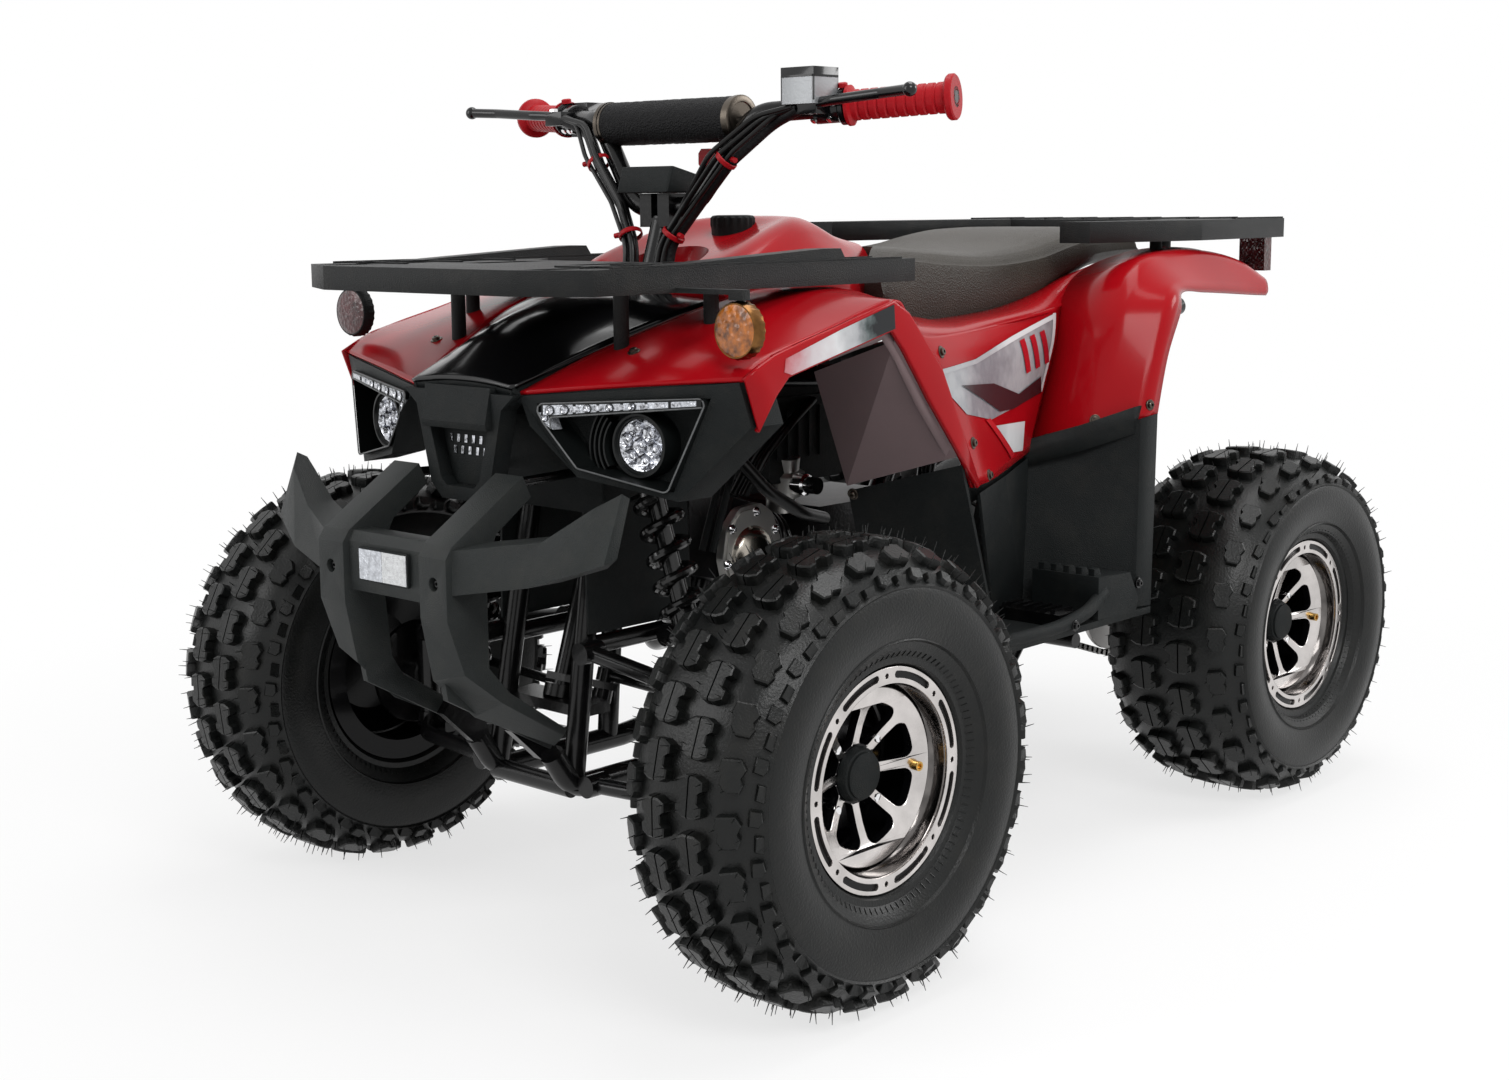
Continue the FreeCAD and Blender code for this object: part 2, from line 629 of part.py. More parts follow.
# Front bumper: two prongs, a cross bar, wings and tapering skid legs
bolt_line_z = 424.0
bolt_hole_r = 7.0
prong_back = bumper_front - 51
prong_profile = [
    (614, 522), (bumper_front - 8, 462), (bumper_front, 450), (bumper_front, 388), (prong_back, 388),
    (prong_back, 440), (650, 468), (604, 500)]
prong = plate_xz(prong_profile, prong_in, prong_out)
bolt_hole = rod(V(650, 84, bolt_line_z), V(740, 84, bolt_line_z), bolt_hole_r)
leg = loft_rings([
    [V(bumper_front, prong_in, 388), V(bumper_front, prong_out, 388), V(prong_back, prong_out, 388),
     V(prong_back, prong_in, 388)],
    [V(702, prong_in, 322), V(695, prong_out, 332), V(prong_back, prong_out, 334), V(658, prong_in, 322)],
    [V(654, 66, 276), V(644, 99, 294), V(634, 99, 303), V(636, 68, 292)],
    [V(558, 78, 229), V(560, 95, 243), V(554, 94, 249), V(552, 80, 240)]])
leg_spine = plate_xz([(694, 322), (690, 300), (556, 224), (548, 238), (648, 302), (660, 322)],
                     prong_in, prong_in + 8)
wing = loft_rings([
    [V(708, prong_out, 414), V(706, prong_out, 458), V(668, prong_out, 462), V(668, prong_out, 414)],
    [V(686, 190, 429), V(667, 190, 471), V(634, 190, 474), V(642, 190, 429)],
    [V(664, 240, 446), V(647, 242, 506), V(618, 244, 502), V(628, 240, 446)],
    [V(653, 262, 455), V(628, 262, 520), V(616, 260, 514), V(634, 260, 458)]])
centre_bar = plate_xz([(678, 400), (704, 400), (708, 412), (708, 452), (702, 462), (678, 462)],
                      -prong_in, prong_in)
bumper_side = union([prong.cut(bolt_hole), leg, leg_spine, wing])
export("front_bumper", union([bumper_side, other_side(bumper_side), centre_bar]))

# Headlamp mask: two pods with deep lamp pockets, joined by a V frame under a visor
lamp_centre = V(549, 203, 554)
lamp_r = 33.0
lamp_depth = 34.0
lamp_axis = V(1, 0.18, 0).normalize()
pod_depth = V(-46, 0, 0)
pocket_depth = V(-36, 0, 0)
light_bar_height = 8.0


def mask_side():
    face = [V(598, 83, 600), V(527, 288, 617.5), V(544, 253, 502), V(583, 150, 522), V(604, 105, 572)]
    cheek = [face[1], V(518, 311, 620), V(506, 315.7, 576), face[2]]
    pod = loft_rings([face, [p + pod_depth for p in face]])
    side = loft_rings([cheek, [p + pod_depth for p in cheek]])
    pocket = [V(596, 102, 593), V(534, 284, 604), V(549, 248, 511), V(585, 152, 531), V(600, 114, 574)]
    room = loft_rings([[p + V(40, 0, 0) for p in pocket], [p + pocket_depth for p in pocket]])
    lamp_hole = rod(lamp_centre - lamp_axis * (lamp_depth + seat_gap), lamp_centre + lamp_axis * 60,
                    lamp_r + seat_gap)
    return union([pod, side]).cut(room).cut(lamp_hole)


def upright_plate(points, x_low, x_high):
    """An outline drawn in the front view, extruded forward."""
    ring = [V(x_low, y, z) for y, z in points]
    return Part.Face(Part.makePolygon(ring + ring[:1])).extrude(V(x_high - x_low, 0, 0))


left_mask = mask_side()
v_outer = [(-88, 601), (-68, 585), (-47, 503), (-30, 488), (30, 488), (47, 503), (68, 585), (88, 601)]
v_inner = [(-50, 612), (-50, 575), (-31, 510), (-22, 502), (22, 502), (31, 510), (50, 575), (50, 612)]
v_frame = upright_plate(v_outer, 588, 610).cut(upright_plate(v_inner, 580, 620))
visor = plate_xz([(588, 566), (616, 563), (618, 570), (610, 606.8), (588, 606.8)], -52, 52)
mask_bracket = box(V(455, -20, 573 + seat_gap), V(600, 20, 584))
export("headlamp_mask", union([left_mask, other_side(left_mask), v_frame, visor, mask_bracket]))

# Headlamps: a ringed lamp and a strip of running lights in the top of each pocket
lamp = turned([(-lamp_depth, 0), (-lamp_depth, lamp_r), (0, lamp_r), (0, lamp_r - 4), (-4, lamp_r - 5),
               (-1, 18), (0, 0)], lamp_centre, lamp_axis)
bar_top = [V(593, 110, 592.9), V(537, 279, 603)]
light_bar = loft_rings([[p, p - V(0, 0, light_bar_height), p - V(16, 0, light_bar_height), p - V(16, 0, 0)]
                        for p in bar_top])
export("headlamps", Part.makeCompound([lamp, other_side(lamp), light_bar, other_side(light_bar)]))

# Grille: a plate set back in the V frame, with two staggered rows of small slots under the visor
plate_outline = [(-45, 562), (-30.5, 511), (-21.5, 502.4), (21.5, 502.4), (30.5, 511), (45, 562)]
grille_plate = upright_plate(plate_outline, 590, 595)
slot_boxes = []
for row, count, slot_z in ((0, 6, 546), (1, 5, 534)):
    for i in range(count):
        slot_y = (i - (count - 1) / 2) * 12
        slot_boxes.append(box(V(585, slot_y - 2.5, slot_z), V(600, slot_y + 2.5, slot_z + 9)))
export("grille", grille_plate.cut(Part.makeCompound(slot_boxes)))

# Hood panel in the middle
hood_rows = [
    [V(606, -80, 609.5), V(606, 0, 614), V(606, 80, 609.5)],
    [V(515, -103, 642), V(530, 0, 668), V(515, 103, 642)],
    [V(430, -131, 673), V(440, 0, 686), V(430, 131, 673)],
    [V(370, -142, 689), V(372, 0, 694), V(370, 142, 689)]]
export("hood_panel", sheet(hood_rows, V(0, 0, -skin)))


# Front fenders
def front_fender():
    top = sheet([
        [V(598, 84, 604.5), V(560, 195, 615), V(516, 319, 624)],
        [V(515, 106, 640), V(505, 205, 642), V(478, 319, 644)],
        [V(430, 135, 672), V(420, 220, 670), V(380, 319, 668)],
        [V(335, 152, 697), V(320, 235, 694), V(296, 319, 690)],
        [V(268, 158, 700), V(268, 240, 697), V(274, 319, 677)]], V(0, 0, -skin))
    crest = [(521, 625.5), (478, 645.5), (380, 669.5), (296, 691.5), (270, 678), (213, 617), (143, 485)]
    arch = [(140, 478), (150, 480), (187, 526), (236, 583), (279, 638), (298, 658), (320, 653), (457, 621),
            (476, 603), (500, 571)]
    band = plate_xz(crest + arch, 316, 316 + panel_lip)
    holes = [rod(V(x, y, 600), V(x, y, 720), rack_post_r + seat_gap) for x, y in front_post_spots]
    return union([top, band]).cut(Part.makeCompound(holes))


fender = front_fender()
export("front_fenders", both_sides(fender))

# Mud guards behind the front wheels, and the splash guards beside the frame's front posts
liner = sheet([
    [V(288, 315.7, 648), V(248, 170, 606)],
    [V(179, 315.7, 517), V(192, 170, 474)]], V(-skin, 0, 0))
splash_guard = sheet([
    [V(500, 63.1, 522), V(346, 63.1, 522)],
    [V(500, 69.2, 338), V(346, 69.2, 338)]], V(0, 3, 0))
export("arch_liners", Part.makeCompound([liner, other_side(liner), splash_guard, other_side(splash_guard)]))

# Tank cover and fuel cap
tank_nose = [(352, 140, 100, 696, 712, 708), (300, 150, 112, 698, 738, 730), (205, 155, 92, 690, 772, 758)]
tank_tail = [(150, 155, 76, 686, 772, 776), (95, 120, 80, 690, 750, 756), (22, 70, 55, 700, 738, 745)]
tank_sections = []
for x, half, ridge_half, base_z, ridge_z, top_z in tank_nose + tank_tail:
    tank_sections.append([V(x, -half, base_z), V(x, -ridge_half, ridge_z), V(x, 0, top_z),
                          V(x, ridge_half, ridge_z), V(x, half, base_z), V(x, half - 8, tank_floor),
                          V(x, -half + 8, tank_floor)])
tank = loft_rings(tank_sections)
stem_hole = rod(clamp_point - stem_axis * 260, clamp_point + stem_axis * 60, 58)
cap_at = V(196, 0, 740)
tank = tank.cut(stem_hole)
fuel_cap = turned([(0, 0), (0, 24), (34, 26), (36, 22), (36, 0)], cap_at, V(0, 0, 1))
export("fuel_cap", fuel_cap)
export("tank_cover", tank.cut(rod(cap_at, cap_at + V(0, 0, 80), 27)))

# Seat: a smooth cushion with two horns that reach forward beside the tank
def smooth_rows(rows, steps):
    """Rows of numbers between the given ones, on a smooth curve through each column."""
    out = []
    for k in range(len(rows) - 1):
        before, after = rows[max(k - 1, 0)], rows[min(k + 2, len(rows) - 1)]
        for step in range(steps):
            u = step / steps
            out.append([0.5 * (2 * b + (c - a) * u + (2 * a - 5 * b + 4 * c - d) * u ** 2
                               + (3 * b - a - 3 * c + d) * u ** 3)
                        for a, b, c, d in zip(before, rows[k], rows[k + 1], after)])
    return out + [rows[-1]]


seat_sections = []
for x, half, low_z, side_z, top_z in smooth_rows([
        (128, 170, 672, 708, 715), (60, 167, 638, 727, 738), (-100, 163, 648, 718, 729),
        (-240, 156, 680, 731, 742), (-340, 149, 706, 745, 755), (-440, 129, 711, 744, 754),
        (-508, 104, 715, 735, 743)], 2):
    left = [V(x, half - 14, low_z), V(x, half - 2, low_z + 12), V(x, half, (low_z + side_z) / 2),
            V(x, half - 5, side_z - 7), V(x, half - 16, side_z), V(x, half * 0.7, side_z * 0.4 + top_z * 0.6),
            V(x, half * 0.35, top_z)]
    seat_sections.append(left + [V(p.x, -p.y, p.z) for p in reversed(left)])
seat = loft_rings(seat_sections)
tank_room = []
for row in tank_tail:
    back, reach = row[0] - seat_gap, row[1] + seat_gap
    tank_room.append([V(back, -reach, 560), V(back, -reach, 800), V(back, reach, 800), V(back, reach, 560)])
seat = seat.cut(loft_rings(tank_room))
export("seat", seat)


# Rear fenders, each one moulding with the knee panel and the leg shield
def rear_fender():
    inner = [V(-118, 200, 485), V(-150, 200, 575), V(-182, 198, 659), V(-240, 185, 700), V(-347, 180, 722),
             V(-450, 175, 728), V(-560, 170, 722), V(-640, 165, 700)]
    crest = [V(-145, 271, 528), V(-171, 276, 602), V(-199, 280, 668), V(-254, 270, 718), V(-360, 256, 728),
             V(-455, 251, 723), V(-540, 248, 708), V(-608, 246, 684)]
    edge = [V(-178, 325, 536), V(-205, 325, 606), V(-241, 323, 670), V(-292, 306, 684), V(-372, 290, 681),
            V(-462, 274, 676), V(-545, 260, 670), V(-604, 252, 666)]
    lip = [V(-204, 328, 540), V(-226, 327, 602), V(-254, 324, 660)] + edge[3:]
    leans = [1.0, 1.0, 0.8, 0.45, 0.2, 0.0, -0.15, -0.3]
    inward = [V(-skin * lean, -0.8 * skin, -skin * (1 - 0.6 * lean)) for lean in leans]
    shield = sheet([list(row) for row in zip(inner, crest, edge, lip)], inward)
    knee = sheet([
        [V(255, 315.7, 655), V(200, 303, 648), V(20, 250, 650), V(-182, 200, 662)],
        [V(238, 315.7, 626), V(180, 306, 618), V(8, 257, 616), V(-168, 206, 622)],
        [V(150, 315.7, 480), V(90, 297, 481), V(-20, 246, 483), V(-118, 202, 487)]], V(0, -skin, 0))
    hole = rod(V(*rear_post_spot, 690), V(*rear_post_spot, 740), rack_post_r + seat_gap)
    return union([shield, knee]).cut(hole)


export("rear_fenders", both_sides(rear_fender()))


# Footwells, each with a heel guard, a row of teeth on it and a sill along its outer edge
well_floor = 290.0
floor_wall = 8.0


def footwell():
    top = well_floor + floor_wall
    walls = sheet([
        [V(150, 325, 475), V(16, 262, 475), V(-118, 200, 479.5), V(-171, 325, 530.5), V(-204, 328, 534.5)],
        [V(128, 335, 300), V(70, 232, 296), V(-100, 206, 296), V(-168, 325, 300), V(-195, 330, 300)]],
        V(0, -skin, -skin))
    floor = plate_xy([(128, 335), (100, 228), (-100, 202), (-195, 330)], well_floor, top)
    front = sheet([
        [V(172, 315.5, 507), V(190, 170, 468)],
        [V(128, 335, 300), V(140, 170, 294)]], V(-skin, 0, 0))
    heel = plate_xz([(-78, top - 2), (-78, 350), (-146, 347), (-166, 312), (-160, top - 2)], 236, 331)
    teeth = [plate_xz([(-82, 348), (-82, 358), (-92, 358), (-98, 348)], 242 + i * 18, 250 + i * 18)
             for i in range(5)]
    sill = bent_tube([V(122, 329, 302), V(0, 330, 302), V(-60, 330, 312), V(-96, 326, 330)], 8)
    return union([walls, floor, front, heel, sill] + teeth)


export("footwells", both_sides(footwell()))

# Foot pegs on one cross tube that passes over the lower rails and under the footwell floors
peg_x = -34.0
peg_tube_r = 9.0
tube_low = rail_z + rail_r + seat_gap + peg_tube_r
tube_high = well_floor - seat_gap - peg_tube_r
peg_run = [V(peg_x, 0, tube_low), V(peg_x, 150, tube_low), V(peg_x, 218, tube_high), V(peg_x, 330, tube_high)]
peg_tube = bent_tube(peg_run, peg_tube_r, 40)


def peg():
    foot = well_floor + floor_wall + seat_gap
    bar = box(V(peg_x - 20, 234, foot), V(peg_x + 20, 320, foot + 14))
    ridges = [plate_xz([(peg_x - 20, foot + 13), (peg_x - 17, foot + 19), (peg_x + 17, foot + 19),
                        (peg_x + 20, foot + 13)], 236 + i * 14, 242 + i * 14) for i in range(6)]
    return union([bar] + ridges)


export("foot_pegs", Part.makeCompound([peg_tube.fuse(other_side(peg_tube)), peg(), other_side(peg())]))


# Racks
def rack_panel(outline, low_z, high_z, wall, deck):
    """A moulded deck with a skirt: the outline extruded, then hollowed from below."""
    body = plate_xy(outline, low_z, high_z)
    points = [V(x, y, low_z) for x, y in outline]
    wire = Part.makePolygon(points + points[:1])
    inner = Part.Face(wire.makeOffset2D(-wall))
    return body.cut(inner.extrude(V(0, 0, high_z - low_z - deck)))


front_rack_low = 703.0
front_rack_high = 728.0
rack_wall = 5.0
rack_deck = 6.0
half_outline = [(663, 150), (625, 225), (140, 225), (140, 172), (330, 172), (400, 110), (400, 0)]
front_outline = half_outline + [(x, -y) for x, y in reversed(half_outline)]
front_outline = [p for i, p in enumerate(front_outline) if i != len(half_outline)]
rack_slots = []
for side in (-1, 1):
    for x in (440, 515, 590):
        rack_slots.append(box(V(x, side * 165 - 18, 690), V(x + 55, side * 165 + 18, 740)))
    rack_slots.append(box(V(430, side * 80 - 16, 690), V(520, side * 80 + 16, 740)))
front_rack = rack_panel(front_outline, front_rack_low, front_rack_high, rack_wall, rack_deck)
front_rack = front_rack.cut(Part.makeCompound(rack_slots))
rack_posts = []
for (x, y), foot_z in zip(front_post_spots, (626, 652)):
    rack_posts.append(rod(V(x, y, foot_z), V(x, y, front_rack_high - rack_deck + 1), rack_post_r))
hanger = box(V(505, 296, 697.8), V(516, 314, 704))
hanger_arm = box(V(505, 218, 703), V(516, 314, 708))
hump = plate_xz([(560, front_rack_high - 1), (282, 741), (254, 741), (244, front_rack_high - 1)], 188, 214)
front_rack = union([front_rack, hump, other_side(hump)] + rack_posts + [other_side(p) for p in rack_posts]
                   + [hanger, hanger_arm, other_side(hanger), other_side(hanger_arm)])
export("front_rack", front_rack)

rear_rack_low = 738.0
rear_rack_high = 764.0
half_rear = [(-714, 190), (-690, 225), (-411, 260), (-197, 230), (-197, 186), (-420, 172), (-530, 128),
             (-530, 0)]
rear_outline = half_rear + [(x, -y) for x, y in reversed(half_rear)]
rear_outline = [p for i, p in enumerate(rear_outline) if i != len(half_rear)]
rear_rack = rack_panel(rear_outline, rear_rack_low, rear_rack_high, rack_wall, rack_deck)
rear_slots = []
for y in (-172, -126, -48, 0, 48, 126, 172):
    rear_slots.append(box(V(-680, y - 17, 700), V(-570, y + 17, 780)))
rear_rack = rear_rack.cut(Part.makeCompound(rear_slots))
post_top = rear_rack_high - rack_deck + 1
rear_posts = [rod(V(*rear_post_spot, 705), V(*rear_post_spot, post_top), rack_post_r),
              rod(V(-600, 88, 650.5), V(-600, 88, post_top), 9)]
rear_rack = union([rear_rack] + rear_posts + [other_side(p) for p in rear_posts])
export("rear_rack", rear_rack)

# Reflectors: a bar on the bumper, round ones under the front rack, upright ones under the rear rack
reflector_r = 28.5
bar_lens = box(V(708 + seat_gap, -39, 414), V(713, 39, 448))
round_lens = turned([(0, 0), (0, reflector_r), (9, reflector_r), (14, reflector_r - 4), (14, 0)],
                    V(504, 305, 669), V(1, 0, 0))
rear_lens = box(V(-722, 150, 690), V(-700, 190, rear_rack_low - seat_gap))
export("reflectors", Part.makeCompound([bar_lens, round_lens, other_side(round_lens), rear_lens,
                                        other_side(rear_lens)]))
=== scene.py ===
import math
import random

import bmesh
import bpy
from mathutils import Matrix, Vector
from mathutils.bvhtree import BVHTree


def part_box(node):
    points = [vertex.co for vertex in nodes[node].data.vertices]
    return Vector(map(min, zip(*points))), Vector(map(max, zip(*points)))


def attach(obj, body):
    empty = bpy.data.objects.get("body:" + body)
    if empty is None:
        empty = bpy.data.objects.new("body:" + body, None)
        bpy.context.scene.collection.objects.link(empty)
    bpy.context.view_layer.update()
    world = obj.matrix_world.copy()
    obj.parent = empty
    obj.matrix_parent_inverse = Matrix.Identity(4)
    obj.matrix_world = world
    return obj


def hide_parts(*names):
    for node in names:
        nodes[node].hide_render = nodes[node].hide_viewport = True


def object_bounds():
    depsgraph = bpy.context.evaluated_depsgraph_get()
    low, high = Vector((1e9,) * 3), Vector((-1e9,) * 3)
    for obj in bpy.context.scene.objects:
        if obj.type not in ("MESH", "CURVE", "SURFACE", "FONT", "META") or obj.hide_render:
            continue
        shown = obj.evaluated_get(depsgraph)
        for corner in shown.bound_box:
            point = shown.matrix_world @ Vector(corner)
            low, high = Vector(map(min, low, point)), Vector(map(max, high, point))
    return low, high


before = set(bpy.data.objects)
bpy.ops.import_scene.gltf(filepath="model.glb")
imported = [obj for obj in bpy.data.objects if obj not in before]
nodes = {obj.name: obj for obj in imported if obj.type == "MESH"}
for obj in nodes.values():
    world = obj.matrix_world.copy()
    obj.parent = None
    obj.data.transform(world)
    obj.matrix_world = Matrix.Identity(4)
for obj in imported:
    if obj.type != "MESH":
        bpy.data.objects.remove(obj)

cad_bounds = [list(corner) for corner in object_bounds()]
CENTRING = 13.0      # the drawing frame's origin lies this many mm behind the model's
MM = 0.001
SIDES = (1, -1)      # left, right
UP = Vector((0, 0, 1))
LEFT = Vector((0, 1, 0))
AHEAD = Vector((1, 0, 0))


def mm(x, y, z):
    """A point of the drawing frame, in mm, as a position in metres."""
    return Vector(((x + CENTRING) * MM, y * MM, z * MM))


# Materials

def feed(tree, shader, inputs):
    """Set a shader node's inputs, each to a value or from another node's output."""
    for key, value in inputs.items():
        if isinstance(value, bpy.types.NodeSocket):
            tree.links.new(value, shader.inputs[key])
        else:
            shader.inputs[key].default_value = value


def shade(tree, kind, inputs=None, **settings):
    """Add a shader node of one kind, its settings first and then its inputs."""
    shader = tree.nodes.new("ShaderNode" + kind)
    for key, value in settings.items():
        setattr(shader, key, value)
    feed(tree, shader, inputs or {})
    return shader


def new_surface(name, inputs):
    """A new material, its tree and its surface shader, which gets the inputs."""
    made = bpy.data.materials.new(name)
    made.use_nodes = True
    surface = made.node_tree.nodes["Principled BSDF"]
    feed(made.node_tree, surface, inputs)
    return made, made.node_tree, surface


def material(name, color, rough, metal=0.0, vary=0.12, vary_scale=9.0, rough_vary=0.08, coat=0.0, grain=None,
             spec=0.5, dust_and_sheen=0.0, dust_and_sheen_color=(0.3, 0.27, 0.22)):
    """A procedural surface: colour and roughness vary over it, and grain gives its fine relief."""
    made, tree, surface = new_surface(name, {"Metallic": metal, "Coat Weight": coat, "Coat Roughness": 0.05,
                                             "Specular IOR Level": spec})
    place = shade(tree, "TexCoord").outputs["Object"]
    cloud = shade(tree, "TexNoise", {"Scale": vary_scale, "Detail": 5.0, "Vector": place}).outputs["Fac"]
    ramp = shade(tree, "ValToRGB", {"Fac": cloud})
    for element, position, gain in zip(ramp.color_ramp.elements, (0.3, 0.7), (1 - vary, 1 + vary)):
        element.position = position
        element.color = [min(1.0, c * gain) for c in color] + [1]
    color_out = ramp.outputs["Color"]
    # Pale patches of a second colour over the first: dust on most surfaces, and on the tyres also a painted
    # warm reflection.
    if dust_and_sheen:
        patch = shade(tree, "TexNoise", {"Scale": 26.0, "Detail": 8.0, "Roughness": 0.7, "Vector": place})
        spread = shade(tree, "MapRange", {"From Min": 0.48, "From Max": 0.75, "To Max": dust_and_sheen,
                                          "Value": patch.outputs["Fac"]})
        mix = shade(tree, "Mix", {"B": list(dust_and_sheen_color) + [1], "Factor": spread.outputs["Result"],
                                  "A": color_out}, data_type="RGBA")
        color_out = mix.outputs["Result"]
    gloss = shade(tree, "MapRange", {"To Min": max(0.02, rough - rough_vary),
                                     "To Max": min(1.0, rough + rough_vary), "Value": cloud})
    feed(tree, surface, {"Base Color": color_out, "Roughness": gloss.outputs["Result"]})
    if grain:
        kind, scale, depth = grain
        if kind == "cells":
            height = shade(tree, "TexVoronoi", {"Scale": scale, "Vector": place}).outputs["Distance"]
        else:
            height = shade(tree, "TexNoise", {"Scale": scale, "Detail": 6.0, "Vector": place}).outputs["Fac"]
        bump = shade(tree, "Bump", {"Strength": 0.6, "Distance": depth, "Height": height})
        feed(tree, surface, {"Normal": bump.outputs["Normal"]})
    return made


LOOKS = {
    "red": material("red_gloss_paint", (0.345, 0.0034, 0.0074), 0.2, vary=0.06, coat=0.06,
                    grain=("noise", 260, 0.00003), rough_vary=0.05, spec=0.11),
    "black_gloss": material("gloss_black_plastic", (0.003, 0.003, 0.0035), 0.16, vary=0.2, coat=0.15,
                            grain=("noise", 60, 0.0001), spec=0.3),
    "plastic": material("grained_black_plastic", (0.0088, 0.0104, 0.0106), 0.5, grain=("cells", 900, 0.0007),
                        rough_vary=0.06, dust_and_sheen=0.025, spec=0.12),
    "rack": material("grained_dark_plastic", (0.0115, 0.0122, 0.0125), 0.46, grain=("cells", 800, 0.0007),
                     rough_vary=0.06, dust_and_sheen=0.03, spec=0.14),
    # The tyre's brownish patches are partly dust and partly painted reflection, a warm sheen laid into the
    # rubber's colour.
    "rubber": material("tyre_rubber", (0.0042, 0.0048, 0.0046), 0.34, vary=0.35, rough_vary=0.12,
                       grain=("noise", 380, 0.0008), dust_and_sheen=0.07, dust_and_sheen_color=(0.085, 0.075, 0.06), spec=0.27),
    "grip": material("red_grip_rubber", (0.36, 0.005, 0.01), 0.44, vary=0.1, grain=("noise", 300, 0.0003),
                     spec=0.2),
    "seat": material("seat_vinyl", (0.036, 0.031, 0.025), 0.44, vary=0.15, grain=("cells", 520, 0.0011),
                     rough_vary=0.05, spec=0.22, dust_and_sheen=0.08, dust_and_sheen_color=(0.11, 0.09, 0.07)),
    "steel": material("black_painted_steel", (0.0028, 0.0028, 0.0031), 0.24, vary=0.25, coat=0.1,
                      grain=("noise", 160, 0.0003), dust_and_sheen=0.02, spec=0.26),
    "bare": material("bare_steel", (0.42, 0.41, 0.4), 0.34, metal=1.0, vary=0.2,
                     grain=("noise", 260, 0.0002)),
    "chrome": material("chrome", (0.78, 0.78, 0.79), 0.09, metal=1.0, vary=0.04, rough_vary=0.03),
    # Painted shade: the polished metal of the flange ring, darkened for the barrel's recess inside the wheel.
    "barrel": material("polished_barrel_painted_shade", (0.15, 0.14, 0.135), 0.14, metal=1.0, vary=0.5, vary_scale=34,
                       grain=("noise", 400, 0.00008), rough_vary=0.05),
    "polished": material("machined_aluminium", (0.6, 0.57, 0.555), 0.2, metal=1.0, vary=0.15, vary_scale=30,
                         grain=("noise", 500, 0.00008), rough_vary=0.06),
    "rim_black": material("gloss_black_rim", (0.002, 0.002, 0.0024), 0.24, vary=0.2, coat=0.05,
                          grain=("noise", 90, 0.0001), spec=0.16),
    "engine": material("dark_engine_casting", (0.012, 0.012, 0.013), 0.4, metal=0.4, vary=0.3,
                       grain=("noise", 240, 0.0008), dust_and_sheen=0.05, spec=0.25),
    "silver": material("cast_aluminium", (0.5, 0.49, 0.47), 0.36, metal=0.9, vary=0.15,
                       grain=("noise", 200, 0.0006)),
    "spring": material("gloss_black_spring", (0.004, 0.004, 0.004), 0.18, coat=0.2,
                       grain=("noise", 120, 0.0002), spec=0.35),
    "guard": material("dull_guard_plastic", (0.185, 0.128, 0.132), 0.62, vary=0.08,
                      grain=("noise", 300, 0.0003)),
    "cable": material("cable_sheath", (0.004, 0.004, 0.004), 0.32, grain=("noise", 400, 0.0003), spec=0.25),
    "amber": material("amber_lens", (0.34, 0.1, 0.01), 0.18, vary=0.75, vary_scale=110, coat=0.3,
                      grain=("cells", 160, 0.002)),
    "red_lens": material("dark_red_lens", (0.05, 0.004, 0.005), 0.2, vary=0.5, vary_scale=90, coat=0.3,
                         grain=("cells", 200, 0.002)),
    "clear_lens": material("prismatic_clear_lens", (0.52, 0.54, 0.58), 0.25, metal=0.5, vary=0.3,
                           vary_scale=160, coat=0.6, grain=("cells", 420, 0.0012)),
    "lamp_ring": material("lamp_housing", (0.005, 0.006, 0.006), 0.34, coat=0.1, grain=("noise", 200, 0.0002),
                          spec=0.2),
    "lamp_silver": material("lamp_reflector", (0.44, 0.45, 0.48), 0.14, metal=1.0, vary=0.9, vary_scale=300,
                            coat=0.4, grain=("noise", 320, 0.0009)),
    "pale_lens": material("pale_prism_lens", (0.62, 0.63, 0.64), 0.22, metal=0.3, vary=0.15, vary_scale=300,
                          coat=0.6, grain=("cells", 900, 0.001)),
    # Painted highlight: a light grey for the thin lines that stand in for the light caught on the lamp
    # pockets' edges.
    "trim": material("painted_edge_highlight", (0.1, 0.104, 0.106), 0.45, vary=0.25, vary_scale=60,
                     grain=("noise", 500, 0.0003)),
    "reservoir": material("silver_painted_box", (0.3, 0.31, 0.32), 0.34, metal=0.5, vary=0.12,
                          grain=("noise", 300, 0.0002)),
    "loom": material("wrapped_cable_loom", (0.004, 0.004, 0.0045), 0.5,
                     grain=("noise", 240, 0.0016), spec=0.2),
    "bowl": material("polished_cover", (0.34, 0.31, 0.27), 0.2, metal=1.0, vary=0.25, vary_scale=22,
                     grain=("noise", 160, 0.0002)),
    "screw": material("dark_screw", (0.1, 0.085, 0.07), 0.3, metal=1.0, vary=0.3,
                      grain=("noise", 300, 0.0001)),
    "bumper": material("grained_bumper_plastic", (0.02, 0.0225, 0.0222), 0.46, grain=("cells", 900, 0.0007),
                       rough_vary=0.06, dust_and_sheen=0.03, spec=0.18),
    "pad": material("bar_pad_foam", (0.0075, 0.0075, 0.008), 0.62, vary=0.25, grain=("cells", 500, 0.0022),
                    spec=0.15),
    "bronze": material("bronze_lamp_rim", (0.16, 0.075, 0.025), 0.24, metal=1.0, vary=0.4, vary_scale=60,
                       grain=("noise", 200, 0.0001)),
    "brass": material("brass", (0.55, 0.34, 0.1), 0.3, metal=1.0, vary=0.1, grain=("noise", 300, 0.0001)),
}

